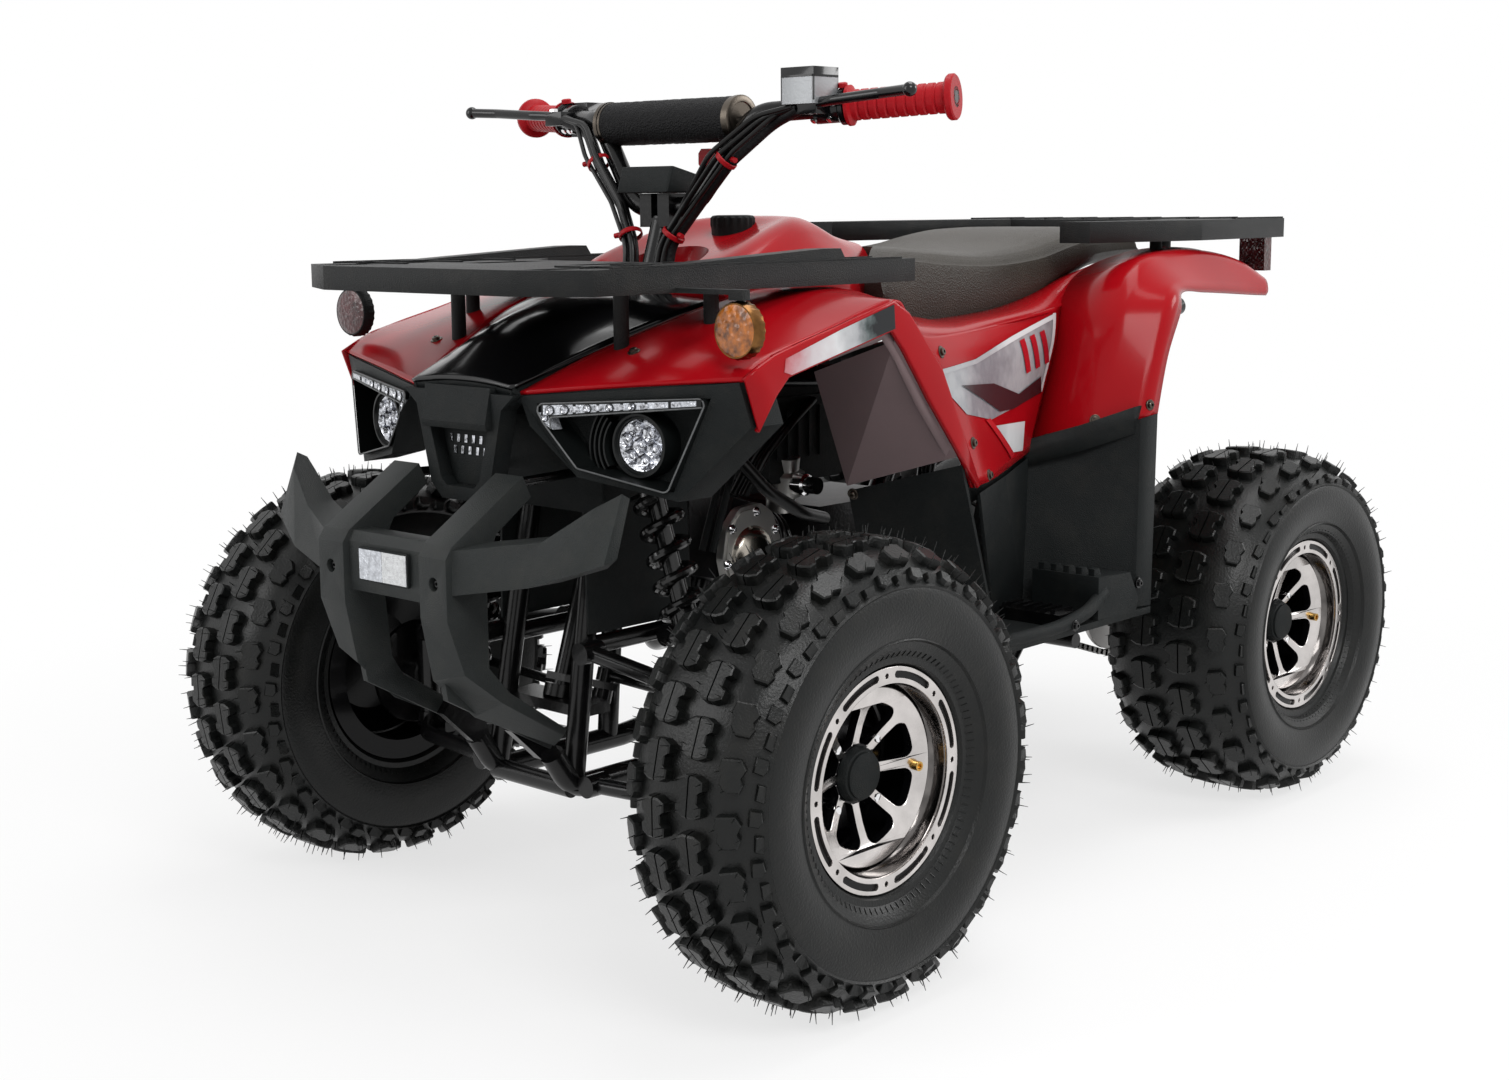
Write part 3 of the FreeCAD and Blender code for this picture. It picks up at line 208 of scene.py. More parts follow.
NODE_LOOKS = {
    "rubber": "tyre_front_left tyre_front_right tyre_rear_left tyre_rear_right",
    "rim_black": "rim_front_left rim_front_right rim_rear_left rim_rear_right",
    "bare": "rear_axle drive_chain",
    "steel": "knuckle_left knuckle_right steering_stem tie_rod_left tie_rod_right handlebar frame exhaust "
             "foot_pegs swing_arm suspension_arms",
    "pad": "bar_pad",
    "grip": "grips",
    "black_gloss": "hand_controls hood_panel",
    "plastic": "instrument_cover headlamp_mask grille fuel_cap footwells",
    "cable": "control_cables",
    "engine": "engine",
    "spring": "shock_absorbers",
    "bumper": "front_bumper",
    "red_lens": "reflectors",
    "chrome": "headlamps",
    "red": "front_fenders tank_cover rear_fenders",
    "guard": "arch_liners",
    "seat": "seat",
    "rack": "front_rack rear_rack",
}
EDGE_RADIUS_MM = {
    "front_bumper": 3.2, "headlamp_mask": 2.2, "hood_panel": 1.0, "front_fenders": 1.2, "tank_cover": 4.0,
    "rear_fenders": 1.0, "footwells": 1.2, "front_rack": 4.0, "rear_rack": 4.0, "instrument_cover": 3.0,
    "engine": 2.0, "hand_controls": 2.0, "swing_arm": 2.0, "grille": 0.8,
}


def smooth_by_angle(mesh, degrees=32.0):
    """Smooth faces that stay sharp over edges of more than the angle."""
    mesh.polygons.foreach_set("use_smooth", [True] * len(mesh.polygons))
    mesh.set_sharp_from_angle(angle=math.radians(degrees))


def round_edges(obj, radius):
    """Weld the imported solid's mesh and give its edges a small radius."""
    weld = obj.modifiers.new("weld", "WELD")
    weld.merge_threshold = 0.00002
    bevel = obj.modifiers.new("edge_radius", "BEVEL")
    bevel.width = radius
    bevel.segments = 3
    bevel.limit_method = "ANGLE"
    bevel.angle_limit = math.radians(28)
    bevel.harden_normals = True
    bevel.use_clamp_overlap = True


def dress_nodes():
    """Every CAD node gets its material, and the moulded and cast ones their edge radius."""
    for look, names in NODE_LOOKS.items():
        for name in names.split():
            mesh = nodes[name].data
            mesh.materials.clear()
            mesh.materials.append(LOOKS[look])
            smooth_by_angle(mesh)
            if name in EDGE_RADIUS_MM:
                round_edges(nodes[name], EDGE_RADIUS_MM[name] * MM)


def paint_shade_on_liner_middle():
    """Painted shade: the splash guard's middle, ahead of the engine between the two arches, gets the black
    plastic, standing in for the shade that falls there.
    """
    start_x, half_width = 0.345, 0.078
    mesh = nodes["arch_liners"].data
    mesh.materials.append(LOOKS["plastic"])
    for polygon in mesh.polygons:
        if polygon.center.x > start_x and abs(polygon.center.y) < half_width:
            polygon.material_index = 1
    smooth_by_angle(mesh, 60)


dress_nodes()
paint_shade_on_liner_middle()


# Outlines and sections

def circle(centre, across, up, radius, count):
    """Points round a centre, on a circle through two directions."""
    angles = [math.tau * i / count for i in range(count)]
    return [centre + (across * math.cos(a) + up * math.sin(a)) * radius for a in angles]


def flat_circle(radius, count, centre=(0.0, 0.0)):
    """A closed flat outline in the shape of a circle."""
    angles = [math.tau * i / count for i in range(count)]
    return [Vector((centre[0] + radius * math.cos(a), centre[1] + radius * math.sin(a))) for a in angles]


def spoke(radius, angle):
    """A step out from a wheel's or cover's axle, in the side view."""
    return Vector((radius * math.cos(angle), 0, radius * math.sin(angle)))


def turned(outline, angle):
    """A flat outline turned round the origin."""
    c, s = math.cos(angle), math.sin(angle)
    return [Vector((p.x * c - p.y * s, p.x * s + p.y * c)) for p in outline]


def rectangle(x0, x1, y0, y1):
    """A flat outline's four corners, from two values each way."""
    return [(x0, y0), (x1, y0), (x1, y1), (x0, y1)]


def between(points, at):
    """The value at a place along a run of (place, value) pairs in rising order."""
    for (start, low), (end, high) in zip(points, points[1:]):
        if at <= end:
            return low + (high - low) * (at - start) / (end - start)
    return points[-1][1]


def corner_arc(before, corner, after, radius, share, steps):
    """The arc that rounds a corner, over at most a share of each leg; a nearly straight corner stays."""
    into = (corner - before).normalized()
    onward = (after - corner).normalized()
    turn = into.angle(onward)
    cut = min(radius * math.tan(turn / 2), share * (corner - before).length, share * (after - corner).length)
    if turn < 0.02 or cut < 1e-6:
        return [corner]
    real_radius = cut / math.tan(turn / 2)
    start, end = corner - into * cut, corner + onward * cut
    centre = corner + (onward - into).normalized() * (real_radius / math.cos(turn / 2))
    radials = [(start - centre).lerp(end - centre, k / steps) for k in range(steps + 1)]
    return [centre + radial.normalized() * real_radius for radial in radials]


def arc_points(points, radius, steps=5):
    """A run of points with its inner corners rounded."""
    points = [Vector(p) for p in points]
    run = [points[0]]
    for before, corner, after in zip(points, points[1:], points[2:]):
        run += corner_arc(before, corner, after, radius, 0.45, steps)
    return run + [points[-1]]


def rounded_outline(points, radius, steps=4):
    """A closed flat outline with its corners rounded, by one radius or by one for each corner."""
    points = [Vector(p) for p in points]
    radii = radius if isinstance(radius, list) else [radius] * len(points)
    ring = []
    for i, corner in enumerate(points):
        ring += corner_arc(points[i - 1], corner, points[(i + 1) % len(points)], radii[i], 0.48, steps)
    return ring


def smooth_sections(rows, steps):
    """Catmull-Rom interpolation between rows of numbers."""
    padded = [rows[0], *rows, rows[-1]]
    smooth = []
    for four in zip(padded, padded[1:], padded[2:], padded[3:]):
        for step in range(steps):
            t = step / steps
            smooth.append([0.5 * (2 * start + (end - before) * t
                                  + (2 * before - 5 * start + 4 * end - after) * t * t
                                  + (3 * start - before - 3 * end + after) * t ** 3)
                           for before, start, end, after in zip(*four)])
    return smooth + [list(rows[-1])]


def along_rows(rows, steps):
    """More rows between the given rows of points, on smooth curves."""
    flat = smooth_sections([[c for point in row for c in point] for row in rows], steps)
    return [[tuple(line[i:i + 3]) for i in range(0, len(line), 3)] for line in flat]


def crossways(rows, steps):
    """Smooth a grid across its rows."""
    columns = along_rows([list(column) for column in zip(*rows)], steps)
    return [list(row) for row in zip(*columns)]


def round_section(points, cut, steps=5):
    """The run of points with each inner corner eased by a curve that starts the cut length before it."""
    points = [Vector(p) for p in points]
    eased = [points[0]]
    for before, corner, after in zip(points, points[1:], points[2:]):
        back, onward = before - corner, after - corner
        start = corner + back.normalized() * min(cut, 0.46 * back.length)
        end = corner + onward.normalized() * min(cut, 0.46 * onward.length)
        for k in range(steps + 1):
            t = k / steps
            eased.append(start * (1 - t) ** 2 + corner * 2 * t * (1 - t) + end * t ** 2)
    return eased + [points[-1]]


# Meshes

def recalc(obj):
    """Make the faces of a closed mesh look outwards."""
    bm = bmesh.new()
    bm.from_mesh(obj.data)
    bmesh.ops.recalc_face_normals(bm, faces=bm.faces)
    bm.to_mesh(obj.data)
    bm.free()
    smooth_by_angle(obj.data)


def mirrored(obj, name, body):
    """The right-hand twin of a left-hand piece."""
    twin = obj.copy()
    twin.data = obj.data.copy()
    twin.name = name
    twin.data.transform(Matrix.Diagonal((1, -1, 1, 1)))
    twin.data.flip_normals()
    bpy.context.collection.objects.link(twin)
    twin.parent = None
    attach(twin, body)


def carve(obj, cutter):
    """Cut one mesh out of another for good."""
    cut = obj.modifiers.new("carve", "BOOLEAN")
    cut.operation = "DIFFERENCE"
    cut.solver = "EXACT"
    cut.object = cutter
    mesh = bpy.data.meshes.new_from_object(obj.evaluated_get(bpy.context.evaluated_depsgraph_get()))
    obj.modifiers.clear()
    obj.data = mesh
    bpy.data.objects.remove(cutter)
    smooth_by_angle(mesh, 40)


class Build:
    """Collects the faces of many small forms into one mesh."""

    def __init__(self):
        self.verts = []
        self.faces = []
        self.slots = []

    def add(self, verts, faces, slot=0):
        base = len(self.verts)
        self.verts += [Vector(v) for v in verts]
        self.faces += [[base + i for i in face] for face in faces]
        self.slots += [slot] * len(faces)

    def rings(self, rings, caps=True, slot=0):
        """Skin a list of rings that all have the same number of points."""
        n = len(rings[0])
        verts = [v for ring in rings for v in ring]
        faces = []
        for k in range(len(rings) - 1):
            for i in range(n):
                j = (i + 1) % n
                faces.append([k * n + i, k * n + j, (k + 1) * n + j, (k + 1) * n + i])
        if caps:
            faces.append(list(range(n))[::-1])
            faces.append([(len(rings) - 1) * n + i for i in range(n)])
        self.add(verts, faces, slot)

    def prism(self, face, step, slot=0):
        """A solid between a face and the same face moved by a step."""
        self.rings([face, [p + step for p in face]], slot=slot)

    def lathe(self, profile, centre, axis, segments, slot=0, caps=False):
        """Turn (distance along the axis, radius) pairs round an axis."""
        axis = Vector(axis).normalized()
        across = axis.orthogonal().normalized()
        up = axis.cross(across)
        self.rings([circle(centre + axis * along, across, up, radius, segments) for along, radius in profile],
                   caps=caps, slot=slot)

    def tube(self, points, radius, segments, slot=0):
        """A round tube through points, with a frame that doesn't twist; a list of radii makes it taper."""
        points = [Vector(p) for p in points]
        radii = radius if isinstance(radius, list) else [radius] * len(points)
        rings = []
        across = (points[1] - points[0]).orthogonal().normalized()
        for k, point in enumerate(points):
            along = (points[min(k + 1, len(points) - 1)] - points[max(k - 1, 0)]).normalized()
            across = (across - along * across.dot(along)).normalized()
            rings.append(circle(point, across, along.cross(across), radii[k], segments))
        self.rings(rings, slot=slot)

    def make(self, name, looks, slot, body="chassis", replaces=None, twin=None, closed=True, angle=32.0):
        """The collected faces as a piece that rides on a body, and its right-hand twin if that is named."""
        mesh = bpy.data.meshes.new(name)
        mesh.from_pydata([tuple(v) for v in self.verts], [], self.faces)
        mesh.validate()
        for look in looks:
            mesh.materials.append(LOOKS[look])
        if len(looks) > 1:
            mesh.polygons.foreach_set("material_index", self.slots)
        obj = bpy.data.objects.new(name, mesh)
        bpy.context.collection.objects.link(obj)
        smooth_by_angle(mesh, angle)
        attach(obj, body)
        if closed:
            recalc(obj)
        if twin:
            mirrored(obj, twin, body)
        if replaces:
            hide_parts(replaces)
        return obj


# Wheels

class Wheel:
    """The sizes of one wheel, in metres, with its name and the body that it turns on."""

    def __init__(self, side, front):
        hand = "left" if side > 0 else "right"
        self.side = side
        self.front = front
        self.name = ("front_" if front else "rear_") + hand
        self.body = "front_wheel_" + hand if front else "rear_wheels"
        self.half = 0.085 if front else 0.103
        self.outer = 0.236 if front else 0.231
        self.flange = self.half - (0.022 if front else 0.026)
        axle_x, track = (450, 376) if front else (-510, 292)
        self.centre = mm(axle_x, track * side, self.outer / MM)


def crown_outline(wheel):
    """The tread's (distance across, radius) pairs from the middle to the shoulder."""
    half, tread = wheel.half, wheel.outer - LUG
    return [(0.0, tread), (half * 0.3, tread - 0.0006), (half * 0.52, tread - 0.003),
            (half * 0.7, tread - 0.0085), (half * 0.84, tread - 0.018), (half * 0.92, tread - 0.0275),
            (half * 0.955, wheel.outer * 0.828)]


def wall_outline(wheel):
    """The side wall's (distance across, radius) pairs from the shoulder to the bead."""
    shares = ((0.985, 0.82), (0.965, 0.81), (0.985, 0.79), (0.995, 0.72), (0.98, 0.66), (0.93, 0.6),
              (0.945, 0.594), (0.905, 0.586), (0.85, 0.545))
    wall = [(wheel.half * across, wheel.outer * up) for across, up in shares]
    return wall + [(wheel.flange + 0.004, 0.1225)]


def bead_outline(wheel):
    """The bead's (distance across, radius) pairs down to the rim's well."""
    steps = ((0.0035, 0.1165), (-0.0015, 0.1135), (-0.0054, 0.1122), (-0.0096, 0.1013))
    return [(wheel.flange + across, radius) for across, radius in steps]


LUG = 0.0108         # the height of a tread block
LOBE = [(-0.0205, 0.001), (0.0205, 0.001), (0.0205, 0.0065), (0.0165, 0.015), (0.008, 0.0155),
        (0.0042, 0.0105), (-0.0042, 0.0105), (-0.008, 0.0155), (-0.0165, 0.015), (-0.0205, 0.0065)]
SHOULDER = [(-0.0135, -0.0105), (-0.003, -0.0125), (0.0005, -0.008), (0.0085, -0.0095), (0.015, -0.004),
            (0.014, 0.008), (0.006, 0.0115), (0.001, 0.0085), (-0.007, 0.0125), (-0.015, 0.006)]
EDGE = [(-0.0085, -0.0065), (0.0065, -0.0075), (0.0085, 0.002), (0.003, 0.0075), (-0.007, 0.006)]


class Tread:
    """Adds a tyre's blocks and its moulding hairs."""

    def __init__(self, form, wheel, rng):
        self.form = form
        self.wheel = wheel
        self.rng = rng
        crown = crown_outline(wheel)
        reach = [0.0]
        for (y0, r0), (y1, r1) in zip(crown, crown[1:]):
            reach.append(reach[-1] + math.hypot(y1 - y0, r1 - r0))
        self.across = list(zip(reach, [Vector((y, r)) for y, r in crown]))

    def on_crown(self, angle, u, s, height):
        """A point at a height over the crown, u along the tread and s across it."""
        along, near = abs(s), 0.002
        spot = between(self.across, along)
        run = between(self.across, along + near) - between(self.across, along - near if along > near else 0)
        out = Vector((-run.y, run.x)).normalized()
        y = min(spot.x + out.x * height, self.wheel.half - 0.0006)
        r = min(spot.y + out.y * height, self.wheel.outer - 0.0002)
        local = Vector((u, math.copysign(y, s), math.sqrt(r * r - u * u)))
        return self.wheel.centre + Matrix.Rotation(angle, 4, "Y") @ local

    def block(self, angle, s0, shape, height):
        """A block with an eased and tapered top; returns the top's points."""
        rings = [[self.on_crown(angle, u * scale, s0 + v * scale, up) for u, v in shape]
                 for scale, up in ((1, -0.0015), (0.95, height - 0.0012), (0.86, height))]
        self.form.rings(rings)
        return rings[-1]

    def hair(self, root, angle, lean):
        """A thin moulding hair, left out where it would reach past the model's box."""
        turn = Matrix.Rotation(angle + self.rng.uniform(-0.12, 0.12), 4, "Y")
        out = turn @ Vector((0, lean, 1)).normalized()
        tip = root + out * self.rng.uniform(0.005, 0.0115)
        low, high = cad_bounds
        room = 0.001
        if low[0] + room < tip.x < high[0] - room and abs(tip.y) < high[1] - room and tip.z > 2 * room:
            self.form.tube([root - out * 0.001, tip], [0.0007, 0.0003], 4)

    def middle_blocks(self, angle, row, lobe):
        """A pair of lobed blocks, one each way across the middle."""
        for flip in (1, -1):
            top = self.block(angle, row * self.wheel.half * 0.255, [(u, v * flip) for u, v in lobe], LUG)
            for corner in (3, 8, 4):
                if self.rng.random() < 0.75:
                    self.hair(top[corner], angle, row * self.rng.uniform(-0.1, 0.25))

    def shoulder_block(self, angle, row):
        shape = [(u * 1.1, v * row) for u, v in SHOULDER]
        top = self.block(angle, row * self.wheel.half * 0.7, shape, LUG * 0.92)
        for corner in (1, 4, 6, 9):
            if self.rng.random() < 0.85:
                self.hair(top[corner], angle, row * self.rng.uniform(0.2, 0.6))

    def edge_block(self, angle, row, share):
        """A small block on the shoulder's edge, a share of the half width out."""
        top = self.block(angle, row * self.wheel.half * share, [(u, v * row) for u, v in EDGE], 0.006)
        if self.rng.random() < 0.7:
            self.hair(top[0], angle, row * 0.8)

    def add_all(self):
        """All blocks, in staggered rows on both sides."""
        count = 27 if self.wheel.front else 24
        lobe = LOBE if self.wheel.front else [(u * 1.05, v * 1.22) for u, v in LOBE]
        pitch = math.tau / count
        for i in range(count):
            for row in (-1, 1):
                self.middle_blocks(pitch * (i + (0.25 if row > 0 else 0.75)), row, lobe)
                self.shoulder_block(pitch * (i + (0.76 if row > 0 else 0.26)), row)
                for shift, share in ((0.02, 1.04), (0.5, 0.98)):
                    self.edge_block(pitch * (i + shift + (0.01 if row > 0 else 0.27)), row, share)


def wall_marks(form, wheel, rng):
    """Fine ribs at the bead and short raised marks on both walls."""
    wall = sorted((r, y) for y, r in wall_outline(wheel))
    rib_count, mark_count, mark_steps = 96, 42, 5

    def on_wall(angle, row, r, proud):
        local = Vector((0, row * (between(wall, r) + proud), r))
        return wheel.centre + Matrix.Rotation(angle, 4, "Y") @ local

    for row in (-1, 1):
        for i in range(rib_count):
            angle = math.tau * i / rib_count
            form.tube([on_wall(angle, row, r, 0.0002) for r in (0.1235, 0.1285)], 0.0008, 4)
        for i in range(mark_count):
            angle = math.tau * (i + rng.uniform(-0.25, 0.25)) / mark_count
            r0 = wheel.outer * rng.choice((0.62, 0.68, 0.74))
            bend = rng.uniform(-0.05, 0.05)
            mark = [on_wall(angle + bend * (k / (mark_steps - 1)) ** 2, row, r0 + 0.0035 * k, -0.0004)
                    for k in range(mark_steps)]
            form.tube(mark, 0.0005, 4)


def tyre(wheel):
    """Knobbly tyre: carcass, staggered rows of blocks, bead ribs, wall marks and moulding hairs."""
    form = Build()
    outline = crown_outline(wheel) + wall_outline(wheel) + bead_outline(wheel)
    form.lathe([(-y, r) for y, r in reversed(outline)] + outline[1:], wheel.centre, LEFT, 132)
    rng = random.Random(7 if wheel.front else 11)
    Tread(form, wheel, rng).add_all()
    wall_marks(form, wheel, rng)
    name = "tyre_" + wheel.name
    form.make(name + "_moulded", ["rubber"], "tyre", wheel.body, replaces=name, closed=False, angle=30)


def flat_plate(name, outlines, depth, looks, bevel=0.0008):
    """A flat plate from closed outlines, the first one outside, the rest holes, in its own XY plane."""
    curve = bpy.data.curves.new(name, "CURVE")
    curve.dimensions = "2D"
    curve.fill_mode = "BOTH"
    curve.extrude = depth / 2
    curve.bevel_depth = bevel
    curve.bevel_resolution = 1
    for ring in outlines:
        spline = curve.splines.new("POLY")
        spline.points.add(len(ring) - 1)
        for point, xy in zip(spline.points, ring):
            point.co = (xy[0], xy[1], 0, 1)
        spline.use_cyclic_u = True
    temp = bpy.data.objects.new(name + "_curve", curve)
    bpy.context.collection.objects.link(temp)
    mesh = bpy.data.meshes.new_from_object(temp.evaluated_get(bpy.context.evaluated_depsgraph_get()))
    bpy.data.objects.remove(temp)
    obj = bpy.data.objects.new(name, mesh)
    mesh.materials.clear()
    for look in looks:
        mesh.materials.append(LOOKS[look])
    bpy.context.collection.objects.link(obj)
    return obj


def rim_barrel(face, hub):
    """The barrel with its flanges, the hub, cap, nuts and valve, along the local Z."""
    form = Build()
    zero = Vector((0, 0, 0))
    form.lathe([(face - 0.024, 0.088), (-face, 0.089), (-face, 0.0965), (-face, 0.1118),
                (-face + 0.004, 0.1118), (-face + 0.0085, 0.1008), (face - 0.0085, 0.1008),
                (face - 0.0045, 0.1116), (face - 0.0035, 0.1118), (face - 0.0035, 0.097)], zero, UP, 96)
    form.lathe([(face - 0.0035, 0.097), (face - 0.0045, 0.0962), (face - 0.01, 0.0958),
                (face - 0.02, 0.0925), (face - 0.024, 0.088)], zero, UP, 96, 1)
    form.lathe([(hub - 0.016, 0.0), (hub - 0.016, 0.06), (hub - 0.034, 0.087)], zero, UP, 48)
    form.lathe([(hub - 0.004, 0.0285), (hub + 0.008, 0.0275), (hub + 0.012, 0.0255), (hub + 0.013, 0.0235),
                (hub + 0.0155, 0.0232), (hub + 0.0165, 0.0215), (hub + 0.0165, 0.0)], zero, UP, 40, 2)
    nut_circle, valve_circle, valve_turn = 0.0435, 0.076, math.pi - 0.05
    for i in range(4):
        a = math.tau * (i + 0.5) / 4
        at = Vector((nut_circle * math.cos(a), nut_circle * math.sin(a), hub - 0.015))
        form.lathe([(0, 0.0085), (0.01, 0.0085), (0.012, 0.0074), (0.019, 0.0066), (0.0225, 0.0045),
                    (0.0232, 0.0)], at, UP, 12, 3)
    valve_at = Vector((valve_circle * math.cos(valve_turn), valve_circle * math.sin(valve_turn), hub - 0.004))
    form.lathe([(0, 0.0062), (0.005, 0.0062), (0.006, 0.0036), (0.022, 0.0036), (0.0225, 0.005),
                (0.03, 0.005), (0.03, 0.003), (0.027, 0.0028), (0.027, 0.0)],
               valve_at, (0.1, 0, 1), 14, 4)
    return form


def flange_ring(name, face, place):
    """The polished ring with eight long slots and a small hole between each two."""
    inner, outer, spread, end = 0.1003, 0.1087, 0.25, 0.0029
    middle = (inner + outer) / 2
    slot = [(outer, -spread + spread * k / 4) for k in range(9)]
    slot += [(middle + end, spread + 0.022), (middle, spread + 0.034), (middle - end, spread + 0.022)]
    slot += [(inner, spread - spread * k / 4) for k in range(9)]
    slot += [(middle - end, -spread - 0.022), (middle, -spread - 0.034), (middle + end, -spread - 0.022)]
    slot = [Vector((r * math.cos(t), r * math.sin(t))) for r, t in slot]
    holes = []
    for i in range(8):
        holes.append(turned(slot, math.tau * (i + 0.5) / 8))
        holes.append(turned(flat_circle(0.0034, 12, (0.104, 0)), math.tau * i / 8))
    edges = [flat_circle(0.1118, 96), flat_circle(0.0966, 96)]
    ring = flat_plate(name + "_flange_ring", edges + holes, 0.0024, ["polished", "rim_black"])
    ring.data.transform(place @ Matrix.Translation((0, 0, face - 0.0018)))
    return ring


def spoked_dish(name, face, hub, place):
    """The dish of eight flared spokes between its petal openings, polished on its outer face."""
    petal = rounded_outline([(0.029, -0.0075), (0.048, -0.0152), (0.0705, -0.0237), (0.0745, 0.0),
                             (0.0705, 0.0237), (0.048, 0.0152), (0.029, 0.0075)],
                            [0.004, 0.05, 0.0105, 0.08, 0.0105, 0.05, 0.004], 6)
    petals = [turned(petal, math.tau * (i + 0.5) / 8) for i in range(8)]
    edges = [flat_circle(0.0885, 72), flat_circle(0.023, 24)]
    dish = flat_plate(name + "_dish", edges + petals, 0.0085, ["rim_black", "polished"], 0.001)
    for v in dish.data.vertices:
        t = min(1.0, max(0.0, (math.hypot(v.co.x, v.co.y) - 0.026) / 0.06))
        v.co.z += hub + (face - 0.022 - hub) * t ** 1.4 - 0.002
    for poly in dish.data.polygons:
        poly.material_index = 1 if poly.normal.z > 0.6 and poly.center.xy.length > 0.03 else 0
    dish.data.transform(place)
    return dish


def rim(wheel):
    """Rim with a slotted flange ring, polished barrel darkened as painted shade, thin flared spokes, nuts,
    cap and valve.
    """
    name = "rim_" + wheel.name
    face = wheel.flange
    hub = face - 0.043
    upright = Matrix.Rotation(math.pi / 2, 4, "X").inverted()
    place = Matrix.Translation(wheel.centre) @ Matrix.Diagonal((1, wheel.side, 1, 1)) @ upright
    looks = ["rim_black", "barrel", "plastic", "chrome", "brass"]
    base = rim_barrel(face, hub).make(name + "_barrel", looks, "rim", wheel.body, replaces=name, closed=False)
    base.data.transform(place)
    recalc(base)
    for plate in (flange_ring(name, face, place), spoked_dish(name, face, hub, place)):
        recalc(plate)
        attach(plate, wheel.body)


for wheel_side in SIDES:
    for is_front in (True, False):
        tyre(Wheel(wheel_side, is_front))
        rim(Wheel(wheel_side, is_front))


# Seat

def seat_section(x, half, low, side, top):
    """One closed section of the seat, with its side band, piping and crown."""
    crown = top - side
    contour = [(half - 16, low), (half - 4, low + 8), (half, low + 0.4 * (side - low)),
               (half - 3, side - 12), (half - 5, side - 6), (half - 9, side - 4.5), (half - 12, side - 1),
               (half - 20, side + 0.45 * crown), (half - 38, side + 0.8 * crown),
               (half * 0.55, side + 0.96 * crown), (half * 0.25, top)]
    return [mm(x, y, z) for y, z in contour] + [mm(x, -y, z) for y, z in reversed(contour)]


def seat_piece():
    """The taut vinyl seat, with room cut out of its front for the tank cover."""
    rows = [(128, 170, 672, 708, 715), (95, 168, 650, 722, 729), (60, 166, 638, 727, 738),
            (0, 164, 640, 722, 736), (-100, 162, 648, 718, 729), (-200, 158, 668, 724, 736),
            (-280, 153, 690, 738, 749), (-340, 148, 706, 745, 755), (-420, 133, 711, 745, 755),
            (-485, 116, 713, 740, 751), (-507, 104, 715, 734, 743)]
    form = Build()
    form.rings([seat_section(*row) for row in smooth_sections(rows, 5)])
    seat = form.make("seat_cover", ["seat"], "seat_cover", replaces="seat")
    room = Build()
    room.rings([[mm(x, y, z) for y, z in rectangle(-half, half, 560, 800)]
                for x, half in ((165, 156), (150, 156), (95, 121), (21.5, 71))])
    carve(seat, room.make("tank_room", ["seat"], "seat_cover"))


seat_piece()


# Moulded body panels: smooth shells over the same lines as their solids

PANEL_SLOTS = {"red": "red_gloss", "black_gloss": "black_gloss", "plastic": "black_plastic",
               "guard": "black_plastic"}


def shell(name, rows, look, outward, thick=0.004, replaces=None):
    """A panel of even thickness over an open grid of points in mm; one named left has a right-hand twin."""
    wide = len(rows[0])
    faces = [[i * wide + j, i * wide + j + 1, (i + 1) * wide + j + 1, (i + 1) * wide + j]
             for i in range(len(rows) - 1) for j in range(wide - 1)]
    form = Build()
    form.add([mm(*point) for row in rows for point in row], faces)
    slot = PANEL_SLOTS[look]
    obj = form.make(name, [look], slot)
    mesh = obj.data
    if sum(p.normal.dot(Vector(outward)) * p.area for p in mesh.polygons) < 0:
        mesh.flip_normals()
    smooth_by_angle(mesh, 42)
    solid = obj.modifiers.new("thickness", "SOLIDIFY")
    solid.thickness = thick
    solid.offset = -1.0
    if name.endswith("left"):
        mirrored(obj, name.replace("left", "right"), "chassis")
    if replaces:
        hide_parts(replaces)


def rear_fender_shell():
    inner = [(-118, 200, 480), (-150, 200, 575), (-182, 198, 659), (-240, 185, 700), (-347, 180, 722),
             (-450, 175, 728), (-560, 170, 722), (-640, 165, 700)]
    crest = [(-143, 271, 508), (-171, 276, 602), (-199, 280, 668), (-254, 270, 718), (-360, 256, 728),
             (-455, 251, 723), (-540, 248, 708), (-608, 246, 684)]
    edge = [(-176, 325, 530), (-205, 325, 606), (-241, 323, 670), (-292, 306, 684), (-372, 290, 681),
            (-462, 274, 676), (-545, 260, 670), (-604, 252, 666)]
    lip = [(-204, 328, 533), (-226, 327, 602), (-262, 322, 655), (-296, 303, 676), (-374, 287, 673),
           (-463, 271, 668), (-545, 257, 663), (-602, 249, 660)]
    rows = along_rows([list(station) for station in zip(inner, crest, edge, lip)], 6)
    shell("rear_fender_left", [round_section(row, 12) for row in rows], "red", (0.1, 0.7, 0.6),
          replaces="rear_fenders")


def knee_panel():
    """The red side panel by the rider's knee, from the fender down to the footwell."""
    knee = [[(255, 315.7, 655), (200, 303, 648), (20, 250, 650), (-182, 200, 662)],
            [(238, 315.7, 626), (180, 306, 618), (8, 257, 616), (-168, 206, 622)],
            [(194, 315.7, 553), (135, 302, 550), (-6, 252, 550), (-143, 204, 555)],
            [(150, 315.7, 480), (90, 297, 481), (-20, 246, 483), (-118, 202, 487)]]
    shell("knee_panel_left", crossways(along_rows(knee, 5), 6), "red", (0, 1, 0))


# The side face of each front fender: points on its crest and on its arch edge, as (x, z)
FENDER_BAND = [((521, 625.5), (500, 571)), ((500, 636), (476, 603)), ((478, 645.5), (457, 621)),
               ((430, 657.5), (390, 636.7)), ((380, 669.5), (350, 646)), ((335, 681.5), (320, 653)),
               ((296, 691.5), (298, 658)), ((270, 678), (279, 638)), ((240, 646), (257, 610)),
               ((213, 617), (236, 583)), ((178, 551), (187, 526)), ((143, 485), (150, 480))]


